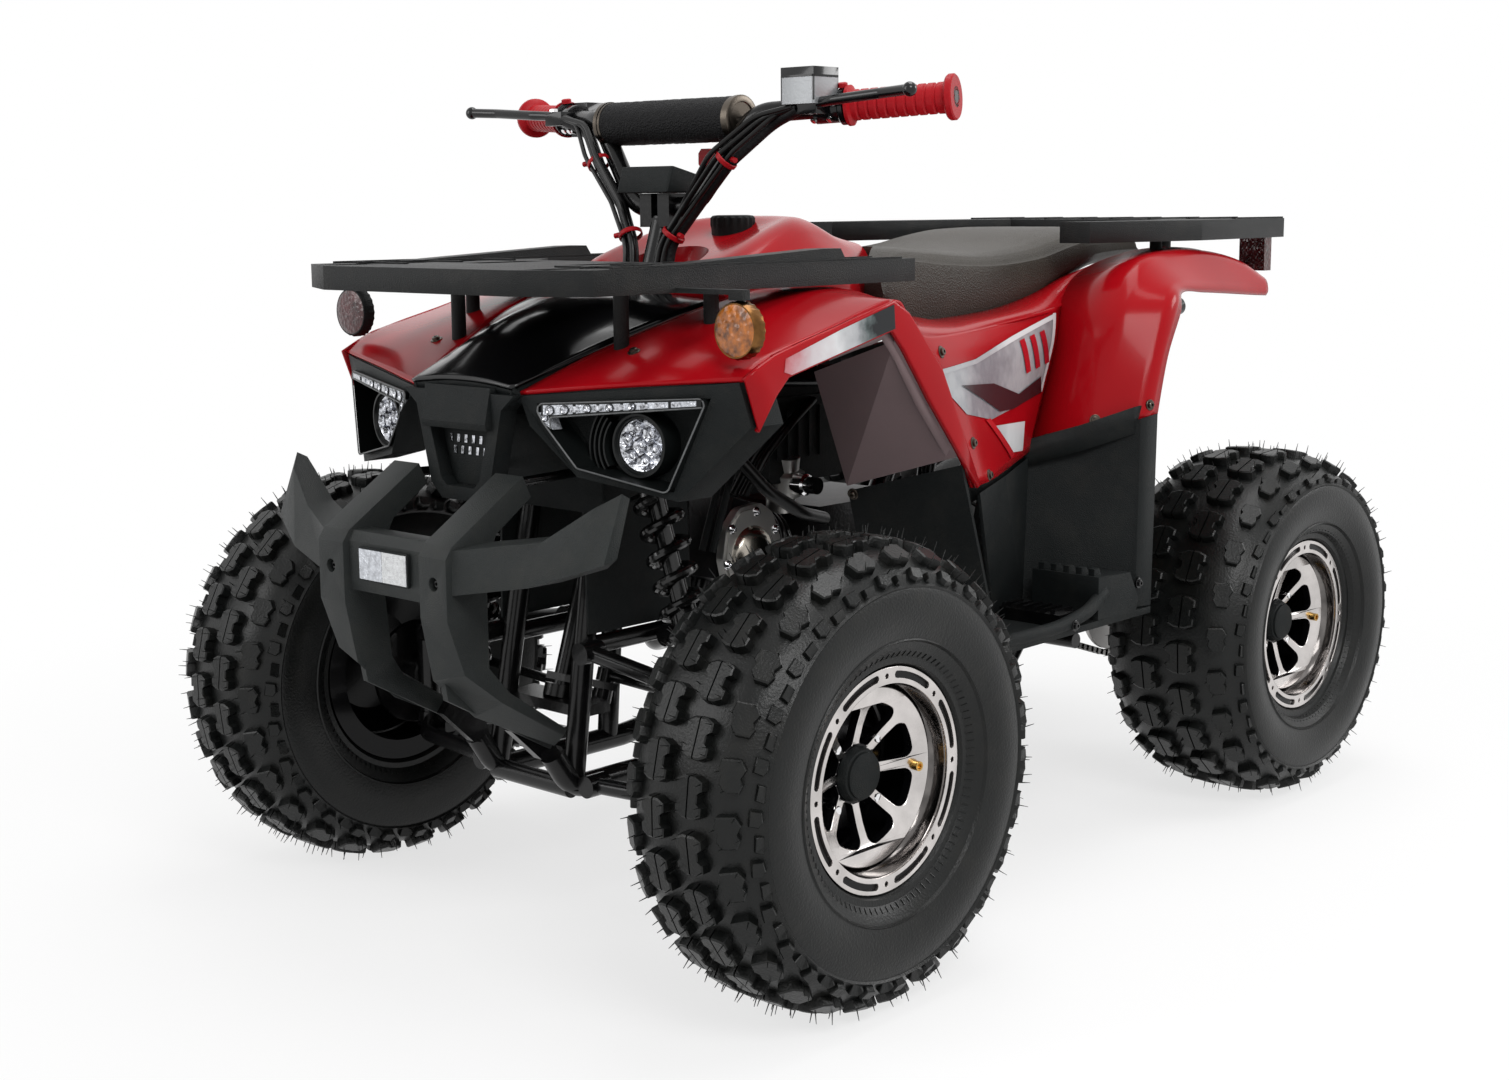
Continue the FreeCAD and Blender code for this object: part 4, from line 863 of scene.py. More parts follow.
def front_fender_shell():
    top = [[(598, 84, 604.5), (560, 195, 615), (516, 319, 624)],
           [(515, 106, 640), (505, 205, 643), (478, 319, 644)],
           [(430, 135, 672), (420, 220, 671), (380, 319, 668)],
           [(335, 152, 697), (320, 235, 695), (296, 319, 690)],
           [(268, 158, 700), (268, 240, 698), (274, 319, 680)]]
    shell("front_fender_left", crossways(along_rows(top, 7), 7), "red", (0, 0, 1), replaces="front_fenders")
    rows = []
    for (cx, cz), (ax, az) in FENDER_BAND:
        inward = Vector((ax - cx, 0, az - cz)).normalized()
        crest, arch = Vector((cx, 0, cz)), Vector((ax, 0, az))
        run = zip((crest + inward, crest + inward * 1.5, arch, arch), (317.0, 322.0, 322.0, 316.0))
        rows.append([(p.x, y, p.z) for p, y in run])
    shell("fender_band_left", [round_section(row, 3.0, 3) for row in rows], "red", (0, 1, 0), 0.003)


def hood_shell():
    rows = [[(606, -80, 609.5), (606, -38, 613), (606, 0, 614), (606, 38, 613), (606, 80, 609.5)],
            [(515, -103, 642), (526, -46, 662), (530, 0, 667), (526, 46, 662), (515, 103, 642)],
            [(430, -131, 673), (436, -60, 686), (440, 0, 689), (436, 60, 686), (430, 131, 673)],
            [(370, -142, 689), (371, -65, 694), (372, 0, 696), (371, 65, 694), (370, 142, 689)]]
    shell("hood_shell", crossways(along_rows(rows, 7), 5), "black_gloss", (0, 0, 1), replaces="hood_panel")


def tank_shell():
    """The tank cover, ridged along both sides, with the stem's hole cut through it."""
    rows = []
    for x, half, ridge_half, base_z, ridge_z, top_z in (
            (352, 140, 100, 696, 712, 708), (300, 150, 112, 698, 738, 730), (205, 155, 92, 690, 771, 757),
            (150, 155, 76, 686, 772, 775), (95, 120, 80, 690, 750, 756), (22, 70, 55, 700, 738, 745)):
        right = [(x, half - 8, 650), (x, half, base_z), (x, ridge_half, ridge_z),
                 (x, ridge_half * 0.4, top_z)]
        rows.append(right + [(x, -y, z) for x, y, z in reversed(right)])
    form = Build()
    form.rings([[mm(*p) for p in round_section(row, 24)] for row in along_rows(rows, 5)])
    tank = form.make("tank_shell", ["red"], "red_gloss", replaces="tank_cover")
    rake = math.radians(18)
    hole = Build()
    stem_axis = (-math.sin(rake), 0, math.cos(rake))
    hole.lathe([(-0.26, 0.058), (0.06, 0.058)], mm(306, 0, 786), stem_axis, 64, caps=True)
    carve(tank, hole.make("stem_hole", ["red"], "red_gloss"))


def seat_apron():
    """The red strip that carries each side panel up to the seat's lower edge."""
    rows = [[(262, 313, 650), (256, 240, 688), (250, 156, 692)],
            [(190, 299, 644), (174, 240, 662), (158, 156, 676)],
            [(118, 277, 644), (92, 232, 653), (64, 167, 658)],
            [(20, 250, 650), (20, 210, 653), (20, 163, 654)],
            [(-82, 227, 655), (-86, 194, 659), (-90, 158, 660)],
            [(-182, 200, 662), (-181, 178, 670), (-180, 155, 675)],
            [(-238, 186, 699), (-240, 170, 696), (-243, 152, 692)],
            [(-340, 181, 721), (-340, 164, 716), (-340, 146, 709)]]
    shell("seat_apron_left", along_rows(rows, 5), "red", (0, 0.3, 1), 0.003)


def seam_skirt():
    """The dark return flange behind the seam between the side panel and the footwell."""
    seam = [(150, 311, 480), (90, 292, 481), (-20, 241, 483), (-114, 198, 486), (-138, 265, 508),
            (-171, 319, 530), (-200, 322, 533)]
    rows = [[(x + 4, y, z + lift) for x, y, z in seam] for lift in (14, -2, -18)]
    shell("seam_skirt_left", rows, "plastic", (0, 1, 0), 0.003)


def arch_return():
    """The flange behind the front arch edge that the splash guard meets."""
    rows = []
    for (cx, cz), (ax, az) in FENDER_BAND[3:11]:
        inward = Vector((ax - cx, 0, az - cz)).normalized()
        rows.append([(ax - inward.x * 3, 314, az - inward.z * 3),
                     (ax + inward.x * 9, 308, az + inward.z * 9)])
    shell("arch_return_left", rows, "guard", (0, 1, 0), 0.002)


def nose_lip():
    """The dark flange under the hood's and fenders' front edges, and the plate behind the grille."""
    edge = [(606, 0, 613.5), (606, 38, 612.5), (606, 80, 609), (598, 84, 604), (560, 195, 614.5),
            (516, 317, 623)]
    edge = [(x, -y, z) for x, y, z in reversed(edge[1:])] + edge
    rows = [[(x - 1.5 - 0.3 * drop, y, z - drop) for x, y, z in edge] for drop in (0, 7, 14)]
    shell("nose_lip", rows, "plastic", (1, 0, 0), 0.002)
    shell("nose_back", [[(504, y, z) for y in (-100, 0, 100)] for z in (598, 534, 470)], "plastic", (1, 0, 0),
          0.003)


def hood_skirt():
    """The dark flange that hangs under each side edge of the hood, behind the fender's edge."""
    edge = [(604, 78, 609), (515, 100, 641), (430, 128, 672), (372, 139, 688)]
    rows = along_rows([[(x, y - 0.1 * drop, z - drop) for drop in (1, 10, 20)] for x, y, z in edge], 5)
    shell("hood_skirt_left", rows, "plastic", (0, 1, 0), 0.002)


for make_panel in (rear_fender_shell, knee_panel, front_fender_shell, hood_shell, hood_skirt, tank_shell,
                   seat_apron, seam_skirt, arch_return, nose_lip):
    make_panel()


# Lamps, running lights and grille slots

LAMP = mm(549, 203, 554)
LAMP_AXIS = Vector((1, 0.18, 0)).normalized()
LAMP_R = 0.033
POD_FACE = Vector((1, 0.335, 0.093)).normalized()
STRIP_INNER, STRIP_OUTER = mm(593, 110, 592.9), mm(537, 279, 603)
STRIP_PANES = ((0.015, 0.205, 0.0014), (0.225, 0.355, 0.0018), (0.375, 0.505, 0.0018), (0.525, 0.655, 0.0016),
               (0.675, 0.8, 0.0014), (0.82, 0.97, 0.0014))
POCKET = [(102, 593), (284, 604), (248, 511), (152, 531), (114, 574)]


def on_pod(y, z, proud):
    """A point so many mm proud of the sloping front face of the left pod."""
    return mm(685.2 - 0.335 * y - 0.0928 * z + proud, y, z)


def pocket_corners():
    """The lamp pocket's outline on the pod's face, as (y, z) in mm."""
    return rounded_outline(POCKET, 6)


def on_strip(t, forward, rise):
    """A point at a share of the light strip's length, moved forward and up by metres."""
    return STRIP_INNER.lerp(STRIP_OUTER, t) + Vector((forward, 0, rise))


def led(form, at, axis, radius):
    """One round diode: a dark ring, a bright bowl and its raised centre."""
    form.lathe([(0, radius), (0.0012, radius), (0.0014, radius * 0.86)], at, axis, 14, 0)
    form.lathe([(0.0014, radius * 0.86), (0.0003, radius * 0.5), (0.0009, radius * 0.3), (0.001, 0)],
               at, axis, 10, 1)


def pocket_liner(form):
    """The walls and back of the pocket that the lamp sits in."""
    corners = pocket_corners()
    middle = sum(corners, Vector((0, 0))) / len(corners)
    corners = [middle + (c - middle) * 0.995 for c in corners]
    walls = [[on_pod(c.x, c.y, proud) for c in corners] for proud in (-1.0, -52.0)]
    form.rings(walls, caps=False)
    form.add(walls[1], [list(range(len(corners)))])


def round_lamp(form):
    """The lamp's housing, its bowl and seven small bowls in it."""
    form.lathe([(-0.034, 0), (-0.034, LAMP_R), (-0.002, LAMP_R), (0, LAMP_R - 0.0012), (0, LAMP_R - 0.0035),
                (-0.003, LAMP_R - 0.005), (-0.003, LAMP_R - 0.0062), (-0.0045, LAMP_R - 0.007)],
               LAMP, LAMP_AXIS, 48)
    form.lathe([(-0.0045, LAMP_R - 0.007), (-0.0052, LAMP_R - 0.0085), (-0.0052, 0)], LAMP, LAMP_AXIS, 40, 1)
    side = LAMP_AXIS.orthogonal().normalized()
    for i in range(7):
        reach = 0.0168 if i else 0.0
        spot = LAMP + Matrix.Rotation(math.tau * i / 6, 3, LAMP_AXIS) @ side * reach
        form.lathe([(-0.0052, 0.0088), (-0.0026, 0.0084), (-0.005, 0.0058), (-0.0042, 0.0052),
                    (-0.0062, 0.0034), (-0.0046, 0.0026), (-0.0036, 0)], spot, LAMP_AXIS, 7, 1)


def pocket_ribs(form):
    """Four stepped ribs that curve round the inner side of the lamp."""
    for k in range(4):
        rings = []
        for step in range(11):
            a = math.radians(-34 + 6.8 * step)
            section = []
            for radius, proud in ((38.5, -37), (38.5, -20 - 2.0 * k), (40.2, -20 - 2.0 * k), (40.2, -37)):
                reach = radius + 6.5 * k
                section.append(on_pod(203 - reach * math.cos(a), 554 + reach * math.sin(a), proud))
            rings.append(section)
        form.rings(rings)


def light_strip(form):
    """The strip of running lights over the pocket: its bed, its panes and the heel at its inner end."""
    bed = []
    for t, height in ((0, 0.0132), (1, 0.0074)):
        at = on_strip(t, 0.0004, 0.0002)
        down, back = Vector((0, 0, -height)), Vector((-0.015, 0, 0))
        bed.append([at, at + down, at + down + back, at + back])
    form.rings(bed)
    forward = Vector((0.0003, 0, 0))
    for t0, t1, inset in STRIP_PANES:
        pane = []
        for t in (t0, t1):
            at = on_strip(t, 0.0004, 0.0002)
            height = 0.0132 - 0.0058 * t
            top, foot = Vector((0, 0, -inset)), Vector((0, 0, inset - height))
            pane.append([at + top, at + foot, at + forward + foot, at + forward + top])
        form.rings(pane, slot=2)
    heel = [(105, 585), (117, 584), (124, 568), (116, 572)]
    form.rings([[on_pod(y, z, proud) for y, z in heel] for proud in (-1, -13)], slot=2)


def strip_diodes(form):
    """The round diodes and the small bright bars behind the panes."""
    for t in (0.06, 0.155, 0.3, 0.44, 0.58):
        led(form, on_strip(t, 0.0007, -0.0066 + 0.0029 * t), POD_FACE, 0.0052 - 0.0018 * t)
    led(form, on_pod(115, 579, -0.8), POD_FACE, 0.0034)
    reach = (STRIP_OUTER - STRIP_INNER).normalized() * 0.0052
    for t in (0.22, 0.37, 0.51, 0.65, 0.75, 0.85):
        at = on_strip(t, 0.0006, -0.0066 + 0.0029 * t)
        rise = Vector((0, 0, 0.003 - 0.001 * t))
        form.prism([at - reach - rise, at + reach - rise, at + reach + rise, at - reach + rise],
                   POD_FACE * 0.001, 1)


def headlamps():
    form = Build()
    for add_part in (pocket_liner, round_lamp, pocket_ribs, light_strip, strip_diodes):
        add_part(form)
    form.make("headlamp_left", ["lamp_ring", "lamp_silver", "clear_lens"], "lamp_glass", replaces="headlamps",
              twin="headlamp_right")


def pocket_highlight():
    """Painted highlight: thin raised lines in light grey round each pocket and under each strip of lights,
    standing in for the light caught on their edges.
    """
    form = Build()
    loop = [on_pod(c.x, c.y, 0.2) for c in pocket_corners()]
    form.tube(loop + loop[:1], 0.0009, 6)
    under = [on_pod(y, z, 0.2) for y, z in ((122, 569), (120, 580.2), (279, 595.4))]
    form.tube(arc_points(under, 0.003), 0.0009, 6)
    form.make("pocket_highlight_left", ["trim"], "black_plastic", twin="pocket_highlight_right")


def grille_slots():
    form = Build()
    for count, z in ((6, 546), (5, 534)):
        for i in range(count):
            y = (i - (count - 1) / 2) * 12
            corners = ((-2.6, 0.4), (1.6, 0.4), (2.6, 8.6), (-1.6, 8.6))
            form.prism([mm(592, y + dy, z + dz) for dy, dz in corners], AHEAD * 0.0036)
    form.make("grille_slots", ["lamp_silver"], "lamp_glass")


headlamps()
pocket_highlight()
grille_slots()


# Shock absorbers

def shock_absorber(form, low, high, spring_r, turns):
    """A coil-over damper: tube, rod, seats, a round-wire helix and two bushed eyes."""
    along = (high - low).normalized()
    length = (high - low).length
    knee = length * 0.55
    form.lathe([(0.006, 0), (0.006, 0.015), (knee, 0.015), (knee + 0.002, 0.013), (knee + 0.002, 0.009)],
               low, along, 20)
    form.lathe([(knee - 0.01, 0.0105), (length - 0.012, 0.0105)], low, along, 16)
    for at, flip in ((0.032, 1), (length - 0.032, -1)):
        form.lathe([(at - 0.004 * flip, 0.0105), (at - 0.004 * flip, spring_r - 0.006),
                    (at - 0.002 * flip, spring_r), (at + 0.002 * flip, spring_r + 0.001),
                    (at + 0.002 * flip, 0.0105)], low, along, 28)
    across = along.orthogonal().normalized()
    up = along.cross(across)
    per_turn, wire = 22, 0.0056
    coil = []
    for i in range(int(turns * per_turn) + 1):
        t = i / (turns * per_turn)
        angle = math.tau * turns * t
        at = 0.036 + (length - 0.072) * t
        coil.append(low + along * at + (across * math.cos(angle) + up * math.sin(angle)) * (spring_r - wire))
    form.tube(coil, wire, 10)
    for end in (low, high):
        form.lathe([(-0.012, 0.0055), (-0.012, 0.0118), (0.012, 0.0118), (0.012, 0.0055)], end, AHEAD, 20)
        form.lathe([(-0.0165, 0), (-0.0165, 0.0058), (-0.0125, 0.0062), (-0.0125, 0.0056), (0.0125, 0.0056),
                    (0.0125, 0.0062), (0.0165, 0.0058), (0.0165, 0)], end, AHEAD, 6, 1)


def shocks():
    form = Build()
    for side in SIDES:
        shock_absorber(form, mm(448, 216 * side, 203), mm(448, 112 * side, 518), 0.0265, 9)
    shock_absorber(form, mm(-330, 0, 286), mm(-330, 0, 576.7), 0.0275, 8)
    form.make("coil_shocks", ["spring", "chrome"], "black_spring", replaces="shock_absorbers")


shocks()


# Reflectors

def front_bar(form):
    """The bar on the bumper, with a clear and a pale half."""
    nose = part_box("reflectors")[1][0]
    ring = rounded_outline(rectangle(-40, 40, 413.5, 448.5), 2.5)
    form.rings([[Vector((nose - back, c.x * MM, c.y * MM)) for c in ring] for back in (0.0045, 0.0012)])
    for y0, y1, slot in ((-38, -1, 1), (-0.5, 38, 2)):
        face = [Vector((nose - 0.001, y * MM, z * MM)) for y, z in rectangle(y0, y1, 415.5, 446.5)]
        form.prism(face, AHEAD * 0.0009, slot)


def round_reflector(form, side):
    """A round lens in a notched rim on the fender's front: amber in bronze left, red in black right."""
    centre = mm(504, 305 * side, 669)
    rings = []
    for back, scale in ((0, 0.93), (0, 1.0), (0.01, 1.0), (0.0135, 0.93)):
        ring = []
        for i in range(48):
            notched = i % 2 and scale == 1.0
            r = 0.0285 * scale * (1 - (0.035 if notched else 0))
            a = math.tau * i / 48
            ring.append(centre + Vector((back, r * math.cos(a), r * math.sin(a))))
        rings.append(ring)
    rim_slot, lens_slot = (3, 4) if side > 0 else (0, 5)
    form.rings(rings, slot=rim_slot)
    form.lathe([(0.0128, 0.0263), (0.0142, 0.024), (0.0149, 0.015), (0.0152, 0)], centre, AHEAD, 36,
               lens_slot)
    form.tube([centre + Vector((0.004, 0, z)) for z in (0.026, 0.0305)], 0.004, 10)


def rear_box(form, side):
    """A red box under the rear rack, on a thin dark base."""
    back = mm(-722, 150, 690).x
    for grow, slot, x0, x1 in ((0.0, 5, 0.002, 0.0215), (-0.003, 0, -0.0002, 0.003)):
        face = rectangle(0.15 - grow, 0.19 + grow, 0.69 - grow, 0.7375 + grow)
        form.rings([[Vector((back + x, y * side, z)) for y, z in face] for x in (x0, x1)], slot=slot)


def reflectors():
    form = Build()
    front_bar(form)
    for side in SIDES:
        round_reflector(form, side)
        rear_box(form, side)
    form.make("reflector_lenses", ["plastic", "clear_lens", "pale_lens", "bronze", "amber", "red_lens"],
              "reflector", replaces="reflectors")


reflectors()


# Handlebar fittings

GRIP_END = mm(206, 331, 897)
BAR_RUN = (GRIP_END - mm(288, 122, 885)).normalized()
GRIP_START = GRIP_END - BAR_RUN * 0.118
PERCH = GRIP_START - BAR_RUN * 0.022


def grip_profile():
    """A flange, nine ribs and a broad end cap, as (distance, radius)."""
    profile = [(0.0, 0.0115), (0.0, 0.0215), (0.0035, 0.0215), (0.006, 0.0165)]
    for k in range(9):
        at = 0.0115 + 0.0105 * k
        profile += [(at, 0.0163), (at + 0.0014, 0.015), (at + 0.0026, 0.015), (at + 0.004, 0.0163)]
    return profile + [(0.107, 0.0165), (0.1095, 0.0225), (0.1115, 0.024), (0.1165, 0.024), (0.118, 0.0225),
                      (0.118, 0.0065), (0.1155, 0.0055), (0.1155, 0.0)]


def ribbed_grips():
    form = Build()
    form.lathe(grip_profile(), GRIP_START, BAR_RUN, 32)
    form.make("ribbed_grip_left", ["grip"], "grip_rubber", "steering", replaces="grips",
              twin="ribbed_grip_right")


def perch_fittings(form, side):
    """The clamp ring, caps, screws and pivot of one lever's perch, and the bar pad's end disc."""
    flip = Vector((1, side, 1))
    run = BAR_RUN * flip
    at = PERCH * flip
    form.lathe([(0.0135, 0.0115), (0.0135, 0.0185), (0.015, 0.02), (0.0195, 0.02), (0.0208, 0.0185),
                (0.0208, 0.0115)], at, run, 24)
    ring = at + run * 0.0172
    form.lathe([(0, 0.006), (0.0045, 0.006), (0.0055, 0.004), (0.0055, 0)], ring + Vector((0.004, 0, 0.0188)),
               (0.15, 0, 1), 14, 1)
    form.lathe([(0, 0.0045), (0.004, 0.004), (0.004, 0)], ring + Vector((0.0195, 0, 0.003)), (1, 0, 0.2),
               10, 4)
    for along in (-0.009, 0.009):
        form.lathe([(0, 0.0036), (0.0022, 0.0036), (0.0026, 0.0028), (0.0026, 0)],
                   at + run * along + Vector((0.012, 0, -0.013)), (0.7, 0, -0.7), 10, 2)
    form.lathe([(0, 0.0055), (0.003, 0.0055), (0.0038, 0.0042), (0.0038, 0)],
               at + Vector((0.031, 0.002 * side, 0.0082)), UP, 6, 2)
    form.lathe([(-0.004, 0.0255), (0.0012, 0.0255), (0.0022, 0.0235), (0.0022, 0.0185), (0.0008, 0.0175),
                (0.0008, 0)], mm(291, 104 * side, 880), (0, side, 0), 36, 3)


def reservoir(form):
    """The brake fluid's box on the left perch, with its lid."""
    low = PERCH.xy + Vector((0.004, -0.03))
    high = PERCH.xy + Vector((0.044, 0.016))
    outline = rounded_outline(rectangle(low.x, high.x, low.y, high.y), 0.003)
    centre = (low + high) / 2
    for z0, z1, grow, slot in ((0.892, 0.9195, 1.016, 4), (0.9195, 0.9218, 1.045, 0)):
        face = [(centre.x + (p.x - centre.x) * grow, centre.y + (p.y - centre.y) * grow) for p in outline]
        form.rings([[Vector((x, y, z)) for x, y in face] for z in (z0, z1)], slot=slot)


def control_fittings():
    form = Build()
    for side in SIDES:
        perch_fittings(form, side)
    reservoir(form)
    form.make("control_fittings", ["black_gloss", "grip", "chrome", "screw", "reservoir"], "black_plastic",
              "steering")


def bar_pad_sleeve():
    """A foam sleeve with a rough skin and a bronze ring near each end."""
    low, high = (Vector(corner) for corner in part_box("bar_pad"))
    centre = (low + high) / 2
    radius = (high.z - low.z) / 2
    half = (high.y - low.y) / 2
    rng = random.Random(5)
    form = Build()
    stations, around = 72, 40
    rings = []
    for k in range(stations + 1):
        y = half * (2 * k / stations - 1)
        ease = 0.003 if k in (0, stations) else 0.0007 if k in (1, stations - 1) else 0.0003
        ring = []
        for i in range(around):
            a = math.tau * i / around
            r = radius - ease - rng.uniform(0, 0.0006)
            ring.append(centre + Vector((r * math.cos(a), y, r * math.sin(a))))
        rings.append(ring)
    form.rings(rings)
    for side in SIDES:
        form.lathe([(-0.002, radius - 0.002), (-0.002, radius - 0.0002), (0.002, radius - 0.0002),
                    (0.002, radius - 0.002)], centre + Vector((0, side * (half - 0.006), 0)), LEFT, 40, 1)
    sleeve = form.make("bar_pad_sleeve", ["pad", "screw"], "pad_cover", "steering", replaces="bar_pad")


def cable_run(side, shift=(0, 0, 0), end_shift=(0, 0, 0)):
    """A route from the lever's perch to the stem's foot, pushed aside along its way and at its end."""
    points = [PERCH + Vector((0.034, -0.0172, 0)), PERCH + Vector((0.04, -0.06, -0.01)), mm(322, 96, 840),
              mm(326, 52, 790), mm(336, 22, 745), mm(343, 16, 700)]
    moved = []
    for k, point in enumerate(points):
        t = k / (len(points) - 1)
        push = Vector(shift) * math.sin(math.pi * min(1.0, t * 1.2 + 0.1)) + Vector(end_shift) * t
        moved.append((point + push) * Vector((1, side, 1)))
    return arc_points(moved, 0.05, 7)


def cables():
    """Cables and looms from both controls down beside the stem, held by red ties."""
    form = Build()
    for side in SIDES:
        form.tube(cable_run(side), 0.0036, 12)
        form.tube(cable_run(side, (0.006, -0.01, 0.002), (-0.004, 0.006, 0)), 0.003, 10)
        form.tube(cable_run(side, (-0.01, 0.004, -0.006), (-0.01, 0.01, 0)), 0.0068, 14, 1)
        form.tube(cable_run(side, (-0.004, 0.016, 0.004), (0.002, 0.012, 0)), 0.0026, 10)
        loom = cable_run(side, (-0.007, 0.003, -0.003), (-0.007, 0.006, 0))
        for k in (len(loom) // 2 - 4, len(loom) * 3 // 4):
            along = (loom[k + 1] - loom[k]).normalized()
            form.lathe([(-0.003, 0.0128), (-0.002, 0.0138), (0.002, 0.0138), (0.003, 0.0128)],
                       loom[k], along, 22, 2)
            form.lathe([(0, 0.0032), (0.007, 0.003), (0.007, 0)], loom[k] + Vector((0.004, 0.013 * side, 0)),
                       (0.3, side, -0.2), 8, 2)
    form.make("cable_looms", ["cable", "loom", "grip"], "cable_rubber", "steering", replaces="control_cables")


def ignition_key():
    """The key's red head and blade, in its lock."""
    form = Build()
    at = mm(270, 31, 817)
    form.lathe([(-0.004, 0.011), (0.001, 0.011), (0.0016, 0.009), (0.0016, 0)], at, (0.1, 0, 1), 20, 1)
    blade = rectangle(-0.001, 0.001, -0.004, 0.004)
    form.rings([[at + Vector((x, y, z)) for x, y in blade] for z in (0.001, 0.012)], slot=1)
    head = [(-0.005, 0.01), (0.005, 0.01), (0.0105, 0.016), (0.0105, 0.028), (0.006, 0.033),
            (-0.006, 0.033), (-0.0105, 0.028), (-0.0105, 0.016)]
    form.rings([[at + Vector((x, y, z)) for y, z in head] for x in (-0.0028, 0.0028)])
    form.make("ignition_key", ["grip", "chrome"], "black_plastic", "steering")


ribbed_grips()
control_fittings()
bar_pad_sleeve()
cables()
ignition_key()


# Fasteners, placed where the photograph shows them

PHOTO_SIZE = (1509, 1080)
PHOTO_FOCAL = 2044.2
CAMERA_AT = mm(1940.0, 1649.6, 787.6)
SCREW_PIXELS = {
    ("rear_fender_left", "knee_panel_left"): [(973, 443), (989, 475), (1047, 439), (1095, 420), (1150, 405)],
    ("arch_liners", "footwells"): [(853, 494), (904, 473)],
    ("headlamp_mask", "front_bumper"): [(592, 352), (646, 498)],
    ("front_fender_left", "knee_panel_left"): [(634, 352), (941, 352)],
}


def camera_axes():
    """The photograph's right, up and forward directions."""
    heading, pitch, roll = math.radians(-137.13), math.radians(-9.31), math.radians(-0.43)
    flat = math.cos(pitch)
    forward = Vector((math.cos(heading) * flat, math.sin(heading) * flat, math.sin(pitch)))
    level = forward.cross(UP).normalized()
    rise = level.cross(forward)
    right = level * math.cos(roll) + rise * math.sin(roll)
    up = rise * math.cos(roll) - level * math.sin(roll)
    return right, up, forward


def surface_of(names):
    """A search tree over the meshes of named nodes and pieces."""
    verts, polys = [], []
    for name in names:
        mesh = bpy.data.objects[name].data if name not in nodes else nodes[name].data
        base = len(verts)
        verts += [v.co.copy() for v in mesh.vertices]
        polys += [[base + i for i in p.vertices] for p in mesh.polygons]
    return BVHTree.FromPolygons(verts, polys)


def seen_at(u, v, names):
    """Where the photograph's ray through a pixel meets the named pieces, and the outward normal there."""
    right, up, forward = camera_axes()
    across, down = u - PHOTO_SIZE[0] / 2, v - PHOTO_SIZE[1] / 2
    ray = forward + right * (across / PHOTO_FOCAL) - up * (down / PHOTO_FOCAL)
    hit, normal, _, _ = surface_of(names).ray_cast(CAMERA_AT, ray.normalized())
    if hit is None:
        return None
    return hit, (normal if normal.dot(ray) < 0 else -normal)


def bolt(form, at, axis, radius=0.0042, slot=0):
    """A domed socket screw on a washer."""
    washer = radius * 1.6
    form.lathe([(-0.001, washer), (0.0008, washer), (0.0012, washer * 0.93), (0.0012, radius),
                (0.0034, radius), (0.0042, radius * 0.8), (0.0042, radius * 0.45), (0.002, radius * 0.42),
                (0.002, 0)], at, Vector(axis).normalized(), 14, slot)


def panel_screws():
    form = Build()
    for names, pixels in SCREW_PIXELS.items():
        for u, v in pixels:
            found = seen_at(u, v, names)
            if found:
                for side in SIDES:
                    bolt(form, found[0] * Vector((1, side, 1)), found[1] * Vector((1, side, 1)))
    for x, y, z in ((-171, 327.5, 330), (128, 331, 330), (-20, 338, 302)):
        for side in SIDES:
            bolt(form, mm(x, y * side, z), (0, side, 0), 0.0042, 1)
    for side in SIDES:
        bolt(form, mm(707, 84 * side, 424), AHEAD, 0.004, 1)
    form.make("panel_screws", ["screw", "black_gloss"], "bare_steel")


panel_screws()


# Printed films on the body

DARK, MID, PALE, WHITE = (0.012, 0.013, 0.015), (0.21, 0.215, 0.23), (0.38, 0.385, 0.4), (0.66, 0.66, 0.67)

# Each print's colour stops along x, its start and length in metres, and how broken up it is
PRINTS = {
    "fender_fade": ([(0.0, DARK), (0.2, DARK), (0.24, (0.08, 0.1, 0.1)), (0.34, PALE), (0.52, WHITE),
                     (0.72, (0.56, 0.48, 0.5)), (0.9, (0.5, 0.2, 0.22)), (1.0, (0.44, 0.006, 0.01))],
                    0.305, 0.182, 0.16),
    "knee_grey": ([(0.0, MID), (0.35, PALE), (0.7, (0.2, 0.21, 0.23)), (1.0, PALE)], -0.16, 0.36, 0.3),
    "knee_pale": ([(0.0, WHITE), (0.6, WHITE), (1.0, PALE)], -0.08, 0.16, 0.15),
    "knee_dark": ([(0.0, (0.01, 0.01, 0.012)), (1.0, (0.022, 0.02, 0.024))], -0.12, 0.3, 0.2),
    "knee_red": ([(0.0, (0.36, 0.01, 0.02)), (1.0, (0.55, 0.015, 0.02))], -0.12, 0.3, 0.3),
}

